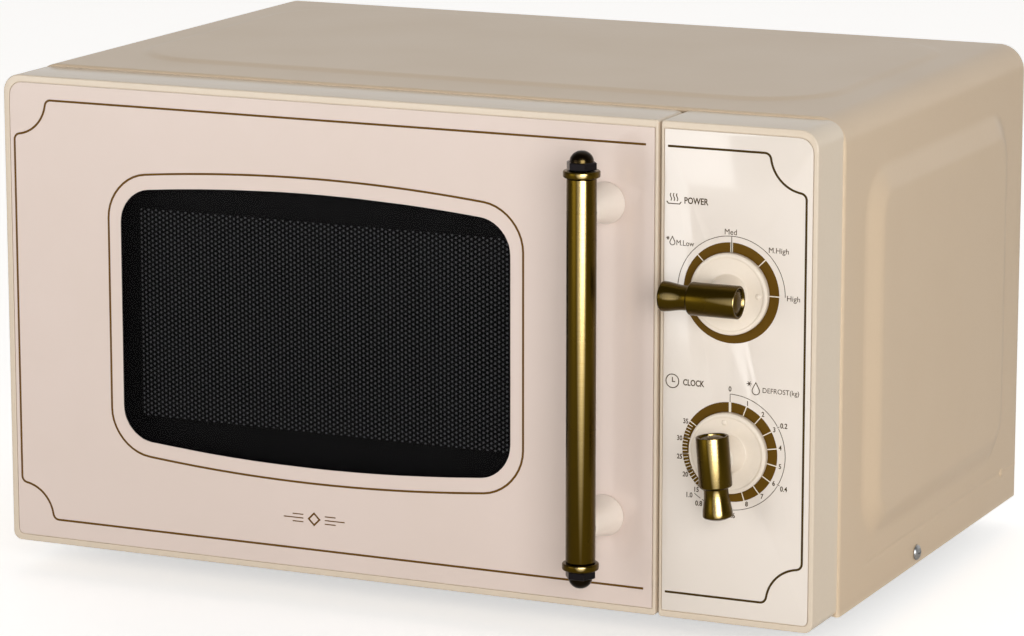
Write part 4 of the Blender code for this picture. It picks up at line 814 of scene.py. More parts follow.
@cache
def radial_marks() -> Repeater:
    """A tree that sets small bars about a dial, at even angles clockwise from its top."""
    made = Repeater("radial_marks", {
        "Count": "NodeSocketInt", "First Angle": "NodeSocketFloat", "Step Angle": "NodeSocketFloat",
        "Radius": "NodeSocketFloat", "Size": "NodeSocketVector", "Centre": "NodeSocketVector",
        "Material": "NodeSocketMaterial",
    })
    tree, given, maths = made.tree, made.inputs, made.maths
    index = node(tree, "GeometryNodeInputIndex").outputs[0]
    angle = maths("ADD", given["First Angle"], maths("MULTIPLY", index, given["Step Angle"]))
    x = maths("MULTIPLY", maths("SINE", angle, 0.0), given["Radius"])
    z = maths("MULTIPLY", maths("COSINE", angle, 0.0), given["Radius"])
    offset = node(tree, "ShaderNodeCombineXYZ", None, {"X": x, "Z": z}).outputs[0]
    spot = node(tree, "ShaderNodeVectorMath", {"operation": "ADD"},
                {0: offset, 1: given["Centre"]}).outputs[0]
    points = node(tree, "GeometryNodePoints", None, {"Count": given["Count"], "Position": spot}).outputs[0]
    turn = node(tree, "ShaderNodeCombineXYZ", None, {"Y": angle}).outputs[0]
    bar = node(tree, "GeometryNodeMeshCube", None, {"Size": given["Size"]}).outputs[0]
    made.finish(node(tree, "GeometryNodeInstanceOnPoints", None,
                     {"Points": points, "Instance": bar, "Rotation": turn}).outputs[0])
    return made


@cache
def fasteners() -> Repeater:
    """A tree that stands a shape on each of a mesh's points, along the point's own direction."""
    made = Repeater("fasteners", {
        "Shape": "NodeSocketObject", "Points": "NodeSocketObject", "Material": "NodeSocketMaterial",
    })
    tree, given = made.tree, made.inputs
    where = node(tree, "GeometryNodeObjectInfo", None, {"Object": given["Points"]}).outputs["Geometry"]
    out = node(tree, "GeometryNodeInputNamedAttribute",
               {"data_type": "FLOAT_VECTOR", "Name": "out"}).outputs[0]
    turn = node(tree, "FunctionNodeAlignRotationToVector", {"axis": "Z"}, {"Vector": out}).outputs[0]
    shape = node(tree, "GeometryNodeObjectInfo", None, {"Object": given["Shape"]}).outputs["Geometry"]
    made.finish(node(tree, "GeometryNodeInstanceOnPoints", None,
                     {"Points": where, "Instance": shape, "Rotation": turn}).outputs[0])
    return made


# Cabinet


def depth_inside(u: float, v: float, low: tuple[float, float], high: tuple[float, float],
                 radius: float) -> float:
    """How deep a point is inside a rounded rectangle.

    Args:
        u: The point's first coordinate.
        v: Its second one.
        low: The rectangle's lower corner.
        high: Its upper corner.
        radius: Its corner radius.

    Returns:
        The distance to its edge, negative outside.
    """
    across = abs(u - (low[0] + high[0]) / 2) - (high[0] - low[0]) / 2 + radius
    up = abs(v - (low[1] + high[1]) / 2) - (high[1] - low[1]) / 2 + radius
    return radius - hypot(max(across, 0), max(up, 0)) - min(max(across, up), 0)


def smooth_step(share: float) -> float:
    """An S-shaped ramp from 0 to 1."""
    share = min(1.0, max(0.0, share))
    return share * share * (3 - 2 * share)


def straight_ramp(share: float, ease: float = 0.14) -> float:
    """A straight ramp from 0 to 1 with eased ends.

    Args:
        share: Where on the ramp.
        ease: Share of the ramp over which an end is eased.

    Returns:
        The height, from 0 to 1.
    """
    if share > 0.5:
        return 1 - straight_ramp(1 - share, ease)
    if share < ease:
        return max(0.0, share + ease) ** 2 / (4 * ease)
    return share


@dataclass
class CabinetSheet:
    """The folded outer sheet with its raised fields, front hem and rear flange."""

    sheet: float = 0.6 * MM
    radius: float = 13 * MM
    hem: float = 0.9 * MM
    flange: float = 12 * MM
    fold: float = 1.6 * MM
    grid: float = 2.5 * MM
    side_margins: tuple[float, float, float, float] = (29.4 * MM, 29 * MM, 30 * MM, 30 * MM)
    side_radius: float = 25 * MM
    side_rise: float = 5 * MM
    side_slope: float = 12 * MM
    top_margins: tuple[float, float, float] = (27 * MM, 32.4 * MM, 19 * MM)
    top_radius: float = 45 * MM
    top_rise: float = 1.2 * MM
    top_slope: float = 3.5 * MM
    crease_level: float = 18 * MM
    crease_start: float = 29 * MM
    crease_depth: float = 0.35 * MM
    crease_width: float = 1.2 * MM
    button: tuple[float, float] = (2.6 * MM, 1.4 * MM)
    button_place: tuple[float, float] = (24.2 * MM, 17.6 * MM)

    def __post_init__(self) -> None:
        """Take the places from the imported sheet."""
        low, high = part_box("cabinet_wrap")
        self.half = high.x - self.side_rise - self.sheet
        self.front, self.rear, self.foot = low.y, high.y, low.z
        self.top = high.z - self.top_rise - self.sheet

    def section(self) -> list[tuple[Vector, Vector]]:
        """Points of the sheet's section in X and Z, each with its outward direction."""
        crease = self.foot + self.crease_level
        near = [crease + self.crease_width * k / 2 for k in range(-3, 4)]
        steps = ceil((self.top - self.radius - self.foot) / self.grid)
        even = [self.foot + (self.top - self.radius - self.foot) * i / steps for i in range(steps + 1)]
        levels = sorted([z for z in even if abs(z - crease) > 2 * self.crease_width] + near)
        right = [(Vector((self.half, z)), Vector((1, 0))) for z in levels]
        centre = Vector((self.half - self.radius, self.top - self.radius))
        for i in range(1, 12):
            out = Vector((cos(pi / 2 * i / 12), sin(pi / 2 * i / 12)))
            right.append((centre + out * self.radius, out))
        steps = ceil(centre.x / self.grid)
        right += [(Vector((centre.x * (1 - i / steps), self.top)), Vector((0, 1))) for i in range(steps + 1)]
        left = [(Vector((-p.x, p.y)), Vector((-n.x, n.y))) for p, n in reversed(right[:-1])]
        return right + left

    def rise(self, point: Vector, out: Vector, y: float) -> float:
        """How far the pressed fields stand out at a point.

        Args:
            point: Its X and Z.
            out: The sheet's outward direction there.
            y: Its Y.

        Returns:
            The distance, in metres.
        """
        if abs(out.x) == 1:
            front, rear, low, high = self.side_margins
            inside = depth_inside(y, point.y, (self.front + front, self.foot + low),
                                  (self.rear - rear, self.top - high), self.side_radius)
            crease = exp(-(((point.y - self.foot - self.crease_level) / self.crease_width) ** 2))
            started = smooth_step((y - self.front - self.crease_start) / self.side_slope)
            pressed = self.side_rise * straight_ramp(inside / self.side_slope)
            return pressed - self.crease_depth * crease * started
        if out.y == 1:
            side, front, rear = self.top_margins
            half = self.half - side
            inside = depth_inside(point.x, y, (-half, self.front + front), (half, self.rear - rear),
                                  self.top_radius)
            return self.top_rise * straight_ramp(inside / self.top_slope)
        return 0.0

    def depths(self) -> list[tuple[float, float]]:
        """Pairs of Y and outward offset, from inside the hem to the rear flange's inner edge."""
        hem = [(self.front + self.hem * (1 - cos(a)), -self.hem * (1 - sin(a)))
               for a in (radians(-60), radians(-30), 0.0, radians(30), radians(60), radians(90))]
        start, end = self.front + 2 * self.hem, self.rear - self.fold
        steps = ceil((end - start) / self.grid)
        middle = [(start + (end - start) * i / steps, 0.0) for i in range(steps + 1)]
        fold = [(end + self.fold * sin(a), -self.fold * (1 - cos(a)))
                for a in (radians(30), radians(60), pi / 2)]
        return hem + middle + fold + [(self.rear, -self.flange / 2), (self.rear, -self.flange)]

    def build(self) -> None:
        """Make the sheet and dress it."""
        bm = bmesh.new()
        section, depths = self.section(), self.depths()
        rows = []
        for y, offset in depths:
            shift = [offset + (self.rise(p, n, y) if offset == 0 else 0) for p, n in section]
            rows.append([bm.verts.new((p.x + n.x * s, y, p.y + n.y * s))
                         for (p, n), s in zip(section, shift)])
        for here, there in zip(rows, rows[1:]):
            for i in range(len(here) - 1):
                bm.faces.new((here[i], here[i + 1], there[i + 1], there[i]))
        bm.normal_update()
        bmesh.ops.solidify(bm, geom=bm.faces[:], thickness=self.sheet)
        present(new_object("cabinet_sheet", bm), POWDER_PAINT, "cabinet", ["cabinet_wrap"])
        bm = bmesh.new()
        radius, rise = self.button
        dome = [(radius * cos(a), rise * sin(a)) for a in [pi / 2 * i / 8 for i in range(8)]]
        place = (self.half, self.rear - self.button_place[0], self.foot + self.button_place[1])
        turned(bm, [(0, rise), *reversed(dome), (radius, -0.3 * MM), (0, -0.3 * MM)], place, (1, 0, 0), 32)
        present(new_object("painted_button", bm), POWDER_PAINT, "cabinet")


@dataclass
class Screws:
    """Pan-head screws with a cross recess."""

    head: float = 4 * MM
    height: float = 2 * MM
    recess: float = 2.3 * MM
    recess_width: float = 0.7 * MM
    recess_depth: float = 1.1 * MM

    def build(self) -> None:
        """Stand one screw on each fixing's place."""
        bm = bmesh.new()
        dome = [(0, self.height), (self.head * 0.55, self.height * 0.92),
                (self.head * 0.9, self.height * 0.5),
                (self.head, 0.2 * MM), (self.head, 0), (1.7 * MM, 0), (1.7 * MM, -4 * MM), (0, -4 * MM)]
        turned(bm, soften(dome, 0.3 * MM, 2), (0, 0, 0), (0, 0, 1), 24)
        shape = new_object("screw_shape", bm)
        arm, top = self.recess_width / 2, self.height * 1.5
        floor = self.height - self.recess_depth
        shape = cut_boxes(shape, [((-self.recess, -arm, floor), (self.recess, arm, top))])
        shape = cut_boxes(shape, [((-arm, -self.recess, floor), (arm, self.recess, top))])
        names = [*(f"rear_screw_{i}" for i in (1, 2, 3)), "side_screw_left", "side_screw_right"]
        places, outs = [], []
        for name in names:
            low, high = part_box(name)
            side = {"side_screw_left": -1, "side_screw_right": 1}.get(name, 0)
            middle = (low + high) / 2
            if side:
                seat = Vector(((high.x if side > 0 else low.x) - side * self.height, middle.y, middle.z))
                places.append(seat)
                outs.append(Vector((side, 0, 0)))
            else:
                places.append(Vector((middle.x, high.y - self.height, middle.z)))
                outs.append(Vector((0, 1, 0)))
        mesh = bpy.data.meshes.new("screw_places")
        mesh.from_pydata([tuple(p) for p in places], [], [])
        attribute = mesh.attributes.new("out", "FLOAT_VECTOR", "POINT")
        attribute.data.foreach_set("vector", [c for out in outs for c in out])
        spots = bpy.data.objects.new("screw_places", mesh)
        bpy.context.scene.collection.objects.link(spots)
        made = fasteners().make("cabinet_screws",
                                {"Shape": shape, "Points": spots, "Material": ZINC_STEEL.material()})
        for helper in (shape, spots):
            bpy.data.objects.remove(helper)
        present(made, ZINC_STEEL, "cabinet", names)


@dataclass
class Louvres:
    """Pressed hoods over the back plate's slots."""

    reach: float = 1.6 * MM
    height: float = 5 * MM
    wall: float = 0.5 * MM
    pitch: float = 8.5 * MM
    fan_count: int = 8
    fan_length: float = 60 * MM
    steam_count: int = 4
    steam_length: float = 100 * MM
    steam_drop: float = 50 * MM

    def hood(self, length: float) -> bpy.types.Object:
        """One hood about the origin: a quarter tube with rounded ends, open below."""
        bm = bmesh.new()
        half = length / 2
        stations = [(-half, 0.0), (-half + 1.5 * MM, 0.7), (-half + 4 * MM, 1.0),
                    (half - 4 * MM, 1.0), (half - 1.5 * MM, 0.7), (half, 0.0)]
        rows = []
        for x, share in stations:
            outer = [(self.reach * share * sin(a), self.height / 2 - self.height * (1 - cos(a)))
                     for a in (0.0, pi / 8, pi / 4, 3 * pi / 8, pi / 2)]
            inner = [(max(0.0, y - self.wall * share), z - self.wall) for y, z in reversed(outer)]
            rows.append([Vector((x, y, z)) for y, z in outer + inner])
        grid = [[bm.verts.new(p) for p in row] for row in rows]
        for here, there in zip(grid, grid[1:]):
            for i, _ in enumerate(here):
                j = (i + 1) % len(here)
                bm.faces.new((here[i], here[j], there[j], there[i]))
        bm.faces.new(grid[0])
        bm.faces.new(grid[-1])
        return new_object("hood_shape", bm)

    def build(self) -> None:
        """Set the hoods over the fan's slots and the steam slots."""
        plate_low, plate_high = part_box("back_plate")
        cavity_low, cavity_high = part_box("cavity_wrap")
        fan = sum(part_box("fan_blade"), Vector()) / 2
        groups = (
            ("fan_louvres", fan.x, fan.z, self.fan_count, self.fan_length),
            ("steam_louvres", (cavity_low.x + cavity_high.x) / 2, cavity_high.z - self.steam_drop,
             self.steam_count, self.steam_length),
        )
        for name, x, z, count, length in groups:
            shape = self.hood(length + 4 * MM)
            centre = (x, plate_high.y - 0.05 * MM, z + 1.5 * MM)
            made = lattice().make(name, {
                "Shape": shape, "Columns": 1, "Rows": count, "Column Pitch": self.pitch,
                "Row Pitch": self.pitch,
                "Shift": 0.0, "Centre": centre, "Material": ZINC_STEEL.material(),
            })
            bpy.data.objects.remove(shape)
            present(made, ZINC_STEEL, "cabinet")


@dataclass
class Feet:
    """Four moulded rubber feet with a hollow tread."""

    radius: float = 12 * MM
    tip: float = 9.5 * MM
    hollow: float = 5.5 * MM

    def build(self) -> None:
        """Make each foot in place of its node."""
        for row in ("front", "rear"):
            for side in ("left", "right"):
                low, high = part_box(f"foot_{row}_{side}")
                middle, height = (low + high) / 2, high.z - low.z
                profile = [(0, height), (self.radius, height), (self.radius, height * 0.8), (self.tip, 0),
                           (self.hollow, 0), (self.hollow * 0.8, 2.5 * MM), (0, 2.5 * MM)]
                bm = bmesh.new()
                turned(bm, soften(profile, 1 * MM), (middle.x, middle.y, low.z), (0, 0, 1), 40)
                name = f"foot_{row}_{side}"
                present(new_object(f"rubber_{name}", bm), RUBBER, "cabinet", [name])


# Front mouldings


@dataclass
class Moulding:
    """A front moulding: a rounded border round a flat sheet set in it."""

    node: str
    radii: tuple[float, float, float, float]
    borders: tuple[float, float, float, float]
    groove: float = 0.45 * MM
    edge: float = 1.0 * MM
    wall: float = 2.5 * MM
    chamfer: float = 0.0
    gaps: tuple[float, float] = (0.0, 0.0)

    def __post_init__(self) -> None:
        """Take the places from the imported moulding, with a gap at its left and right."""
        self.low, self.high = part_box(self.node)
        self.low.x += self.gaps[0]
        self.high.x -= self.gaps[1]
        self.face, self.rear = self.low.y, self.high.y

    def outline(self, insets: Sequence[float]) -> Outline:
        """The moulding's outline, drawn in.

        Args:
            insets: Distances from its left, lower, right and upper edges.

        Returns:
            The outline in X and Z.
        """
        left, low, right, top = insets
        radii = [max(r - min(insets), 0.4 * MM) for r in self.radii]
        return rounded((self.low.x + left, self.low.z + low), (self.high.x - right, self.high.z - top), radii)

    def ring(self, y: float, inset: float, borders: bool = False, side: float = 0.0) -> list[Vector]:
        """One ring of the moulding's loft.

        Args:
            y: Where it lies.
            inset: Distance from its edges, or from the borders' inner edges.
            borders: Whether the borders are added.
            side: Distance added at the upright edges.

        Returns:
            The ring's points.
        """
        base = self.borders if borders else (0.0,) * 4
        insets = [b + inset + (side if i % 2 == 0 else 0.0) for i, b in enumerate(base)]
        return [Vector((u, y, v)) for u, v in self.outline(insets)]

    def build(self, name: str) -> bpy.types.Object:
        """Make the border and the box behind it.

        Args:
            name: The object's name.

        Returns:
            The moulding, without its sheet.
        """
        face, rear, edge, seat, deep = self.face, self.rear, self.edge, self.groove + 1 * MM, 0.8 * MM
        rings = [self.ring(rear, 0, side=self.chamfer)]
        if self.chamfer:
            rings.append(self.ring(rear - self.chamfer, 0))
        rings += [self.ring(face + edge * (1 - sin(a)), edge * (1 - cos(a)))
                  for a in (0.0, radians(22), radians(45), radians(68), radians(90))]
        rings += [self.ring(face, -0.15 * MM, True), self.ring(face + 0.12 * MM, 0, True),
                  self.ring(face + deep, 0, True), self.ring(face + deep, seat, True),
                  self.ring(face + self.wall, seat, True), self.ring(face + self.wall, self.wall),
                  self.ring(rear, self.wall, side=max(0.0, self.chamfer + 1 * MM - self.wall))]
        bm = bmesh.new()
        loft(bm, rings)
        return new_object(name, bm)

    def sheet(self, name: str, holes: Sequence[Outline] = (), bevel: float = 0.15 * MM) -> bpy.types.Object:
        """Make the flat sheet that lies in the border.

        Args:
            name: The object's name.
            holes: Openings in it.
            bevel: Rounding of its edges.

        Returns:
            The sheet.
        """
        outline = self.outline([b + self.groove for b in self.borders])
        return plate(name, [outline, *holes], self.face, self.face + 0.7 * MM, bevel)


@dataclass
class Stripes:
    """Sizes of the printed stripes, from the edges of a moulding."""

    width: float = 1.1 * MM
    scallop: float = 18.2 * MM
    fillet: float = 3.2 * MM
    top: float = 12.1 * MM
    bottom: float = 12.9 * MM


@dataclass
class Door:
    """The door: moulding, front sheet, window, stripes and screen."""

    stripes: Stripes = field(default_factory=Stripes)
    stripe_side: float = 6 * MM
    stripe_stop: float = 6.3 * MM
    window_margins: tuple[float, float, float, float] = (66.3 * MM, 60.5 * MM, 76.7 * MM, 55.1 * MM)
    window_radius: float = 16 * MM
    window_crown: float = 6.2 * MM
    frame_gap: float = 6.6 * MM
    frame_crown: float = 7.05 * MM
    hole_pitch: float = 2.44 * MM
    hole_radius: float = 0.72 * MM
    screen_sheet: float = 0.9 * MM
    screen_set: float = 0.05 * MM
    film_depth: float = 0.35 * MM
    screen_margins: tuple[float, float, float, float] = (69.5 * MM, 68.5 * MM, 79 * MM, 65 * MM)

    def __post_init__(self) -> None:
        """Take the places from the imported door."""
        self.moulding = Moulding("door_frame", (4.5 * MM, 1.5 * MM, 1.5 * MM, 9 * MM),
                                 (3.2 * MM, 3.2 * MM, 1.4 * MM, 3.4 * MM), edge=0.8 * MM,
                                 chamfer=4 * MM, gaps=(0.0, 0.2 * MM))
        self.low, self.high, self.face = self.moulding.low, self.moulding.high, self.moulding.face

    def window(self, grow: float, radius: float, crown: float) -> Outline:
        """The window's crowned outline.

        Args:
            grow: How far its straight box stands outside the window.
            radius: Its corner radius.
            crown: Its bow.

        Returns:
            The outline in X and Z.
        """
        left, low, right, top = self.window_margins
        corners = ((self.low.x + left - grow, self.low.z + low - grow),
                   (self.high.x - right + grow, self.high.z - top + grow))
        return crowned(rounded(*corners, [radius] * 4, 10), crown)

    def build(self) -> None:
        """Make and dress the door's moulding, front sheet, print and screen."""
        self.shell()
        self.print()
        self.screen()

    def shell(self) -> None:
        """The moulding, with notches for the hinge arms, and the cream front sheet."""
        notches = []
        for word in ("upper", "lower"):
            low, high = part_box(f"{word}_hinge_plate")
            arm_low, arm_high = (low.z, low.z + 1.5 * MM) if word == "lower" else (high.z - 1.5 * MM, high.z)
            notches.append(((self.low.x - 5 * MM, self.face + 2.5 * MM, arm_low - 0.6 * MM),
                            (self.low.x + 6 * MM, self.high.y + 5 * MM, arm_high + 0.6 * MM)))
        shell = cut_boxes(self.moulding.build("door_moulding"), notches)
        present(shell, CREAM_ABS, "door", ["door_frame"])
        opening = self.window(-0.25 * MM, self.window_radius - 0.25 * MM, self.window_crown)
        present(self.moulding.sheet("door_front_sheet", [opening], 0.0), CREAM_SHEET, "door")

    def print(self) -> None:
        """The outer stripe, the stripe round the window and a small ornament."""
        bm = bmesh.new()
        sizes = self.stripes
        line = bracket(self.high.x - self.stripe_stop, self.low.x + self.stripe_side,
                       self.low.z + sizes.bottom,
                       self.high.z - sizes.top, sizes.scallop, sizes.fillet)
        ribbon(bm, line, sizes.width, self.face)
        ring = self.window(self.frame_gap, self.window_radius + 5 * MM, self.frame_crown)
        ribbon(bm, ring, sizes.width, self.face, closed=True)
        self.ornament(bm)
        present(new_object("door_stripes", bm), GOLD_INK, "door")

    def ornament(self, bm: bmesh.types.BMesh) -> None:
        """A plain lozenge between two tapering bars, under the window."""
        left, _, right, _ = self.window_margins
        x, z = (self.low.x + left + self.high.x - right) / 2, self.low.z + 28.6 * MM
        diamond = [(x + 3 * MM, z), (x, z + 3 * MM), (x - 3 * MM, z), (x, z - 3 * MM)]
        ribbon(bm, diamond, 0.9 * MM, self.face, closed=True)
        for side in (-1, 1):
            for reach, level in ((17 * MM, 0), (12 * MM, 1.9 * MM), (12 * MM, -1.9 * MM)):
                ends = [(x + side * 6 * MM, z + level), (x + side * reach, z + level)]
                ribbon(bm, ends, 0.55 * MM, self.face)

    def screen(self) -> None:
        """The perforated screen in its pan, and the film behind it."""
        low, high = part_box("door_screen")
        left, bottom, right, top = self.screen_margins
        x0, x1 = self.low.x + left, self.high.x - right
        z0, z1 = self.low.z + bottom, self.high.z - top
        pitch, column = self.hole_pitch, self.hole_pitch * sqrt(3) / 2
        columns, rows = round((x1 - x0) / column), round((z1 - z0) / pitch)
        bm = bmesh.new()
        corners = [(cos(pi / 3 * i), sin(pi / 3 * i)) for i in range(6)]
        outer, back = pitch / sqrt(3), self.screen_sheet
        rings = [[Vector((u * r, y, v * r)) for u, v in corners]
                 for r, y in ((outer, back), (outer, 0), (self.hole_radius, 0), (self.hole_radius, back))]
        loft(bm, rings[1:], closed=False)
        loft(bm, [rings[3], rings[0]], closed=False)
        cell = new_object("screen_cell", bm)
        centre = ((x0 + x1) / 2, low.y + self.screen_set, (z0 + z1) / 2 - pitch / 4)
        screen = lattice().make("door_perforated_screen", {
            "Shape": cell, "Columns": columns, "Rows": rows, "Column Pitch": column, "Row Pitch": pitch,
            "Shift": pitch / 2, "Centre": centre, "Material": BLACK_ENAMEL.material(),
        })
        bpy.data.objects.remove(cell)
        present(screen, BLACK_ENAMEL, "door")
        self.pan(low, high, (x0, z0, x1, z1))

    def pan(self, low: Vector, high: Vector, area: tuple[float, float, float, float]) -> None:
        """The screen's folded pan, and a film over its opening.

        Args:
            low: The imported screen's lower corner.
            high: Its upper corner.
            area: The perforated area, as low X and Z and high X and Z.
        """
        x0, z0, x1, z1 = area
        lap, wall = 1 * MM, 0.6 * MM
        radii = [3 * MM] * 4

        def ring(y: float, inset: float) -> list[Vector]:
            """One ring of the pan, drawn in from its outer edge."""
            points = rounded((low.x + inset, low.z + inset), (high.x - inset, high.z - inset), radii, 4)
            return [Vector((u, y, v)) for u, v in points]

        opening = [Vector((u, 0, v)) for u, v in
                   rounded((x0 + lap, z0 + lap), (x1 - lap, z1 - lap), [1 * MM] * 4, 4)]
        front, rear = low.y, high.y
        bm = bmesh.new()
        loft(bm, [ring(rear, 0), ring(front + 1 * MM, 0), ring(front, 1 * MM),
                  [Vector((p.x, front, p.z)) for p in opening],
                  [Vector((p.x, front + wall, p.z)) for p in opening],
                  ring(front + wall, 1.2 * MM), ring(front + 1.4 * MM, wall), ring(rear, wall)])
        present(new_object("door_screen_pan", bm), BLACK_ENAMEL, "door", ["door_screen"])
        outline = rounded((x0 - 2 * MM, z0 - 2 * MM), (x1 + 2 * MM, z1 + 2 * MM), [2 * MM] * 4, 4)
        start = front + self.film_depth
        film = plate("door_screen_film", [outline], start, start + 0.1 * MM)
        present(film, FILM, "door")


@dataclass
class Handle:
    """The bar handle with its collars, acorn nuts and posts."""

    radius: float = 7.2 * MM
    collar: float = 8.9 * MM
    nut: float = 7.5 * MM
    dome: float = 5.8 * MM
    post_base: float = 10.2 * MM
    post_neck: float = 6.8 * MM

    def build(self) -> None:
        """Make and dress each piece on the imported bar's axis."""
        low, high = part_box("handle_tube")
        x, y = (low.x + high.x) / 2, (low.y + high.y) / 2
        bm = bmesh.new()
        length, r = high.z - low.z, self.radius
        bar = [(0, length), (r, length), (r, 0), (0, 0)]
        turned(bm, soften(bar, 0.5 * MM), (x, y, low.z), (0, 0, 1), 64)
        present(new_object("handle_bar", bm), PAINTED_SHADE_BRASS, "door", ["handle_tube"])
        for word in ("lower", "upper"):
            self.collar_piece(word, x, y)
            self.nut_piece(word, x, y, 1 if word == "upper" else -1)
            self.post_piece(word, x, y)

    def collar_piece(self, word: str, x: float, y: float) -> None:
        """A collar with rounded rims."""
        low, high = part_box(f"handle_collar_{word}")
        thick, r = high.z - low.z, self.collar
        profile = [(0, thick), (r, thick), (r, 0), (0, 0)]
        bm = bmesh.new()
        turned(bm, soften(profile, 0.8 * MM), (x, y, low.z), (0, 0, 1), 64)
        name = f"handle_collar_{word}"
        present(new_object(f"brass_{name}", bm), PAINTED_SHADE_BRASS, "door", [name])

    def nut_piece(self, word: str, x: float, y: float, up: int) -> None:
        """A chamfered hexagon nut with a domed cap.

        Args:
            word: Lower or upper.
            x: The bar's axis.
            y: The bar's axis.
            up: 1 where the dome points up, -1 where it points down.
        """
        low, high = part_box(f"handle_nut_{word}")
        seat = low.z if up > 0 else high.z
        total = high.z - low.z
        flats = total * 0.42
        bm = bmesh.new()
        rings = []
        for h, r in ((0, 0.93), (0.4 * MM, 1.0), (flats - 0.4 * MM, 1.0), (flats, 0.93)):
            points = arc((x, y), self.nut * r, 4, 304, 5)
            rings.append([Vector((u, v, seat + up * h)) for u, v in points])
        loft(bm, rings, closed=False)
        for end in (rings[0], rings[-1]):
            bm.faces.new([bm.verts.new(p) for p in end])
        name = f"handle_nut_{word}"
        present(new_object(f"hexagon_{name}", bm), BLACK_NUT, "door", [name])
        cap = [(self.dome * cos(a), flats + (total - flats) * sin(a))
               for a in [pi / 2 * i / 10 for i in range(10)]]
        bm = bmesh.new()
        turned(bm, [(0, total), *reversed(cap), (self.dome, flats * 0.8), (0, flats * 0.8)], (x, y, seat),
               (0, 0, up), 40)
        present(new_object(f"acorn_{name}", bm), DARK_BRASS, "door")

    def post_piece(self, word: str, x: float, y: float) -> None:
        """A conical post with a concave flank, cut to fit the bar."""
        low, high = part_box(f"handle_post_{word}")
        z, face = (low.z + high.z) / 2, high.y
        reach = face - y
        tip = reach - self.radius * 0.55
        flank = [(self.post_neck + (self.post_base - self.post_neck) * (1 - s) ** 1.7,
                  0.9 * MM + (tip - 0.9 * MM) * s)
                 for s in [i / 12 for i in range(13)]]
        profile = [(0, tip), *reversed(flank), (self.post_base, 0), (0, 0)]
        bm = bmesh.new()
        turned(bm, soften(profile, 0.35 * MM, 2), (x, face, z), (0, -1, 0), 56)
        name = f"handle_post_{word}"
        post = new_object(f"cream_{name}", bm)
        bm = bmesh.new()
        span = 2 * self.post_base
        turned(bm, [(0, span), (self.radius + 0.1 * MM, span), (self.radius + 0.1 * MM, -span), (0, -span)],
               (x, y, z), (0, 0, 1), 64)
        tool = new_object("bar_cutter", bm)
        step = post.modifiers.new("saddle", "BOOLEAN")
        step.operation, step.solver, step.object = "DIFFERENCE", "EXACT", tool
        post = settle(post)
        bpy.data.objects.remove(tool)
        present(post, LIT_POST_ABS, "door", [name])


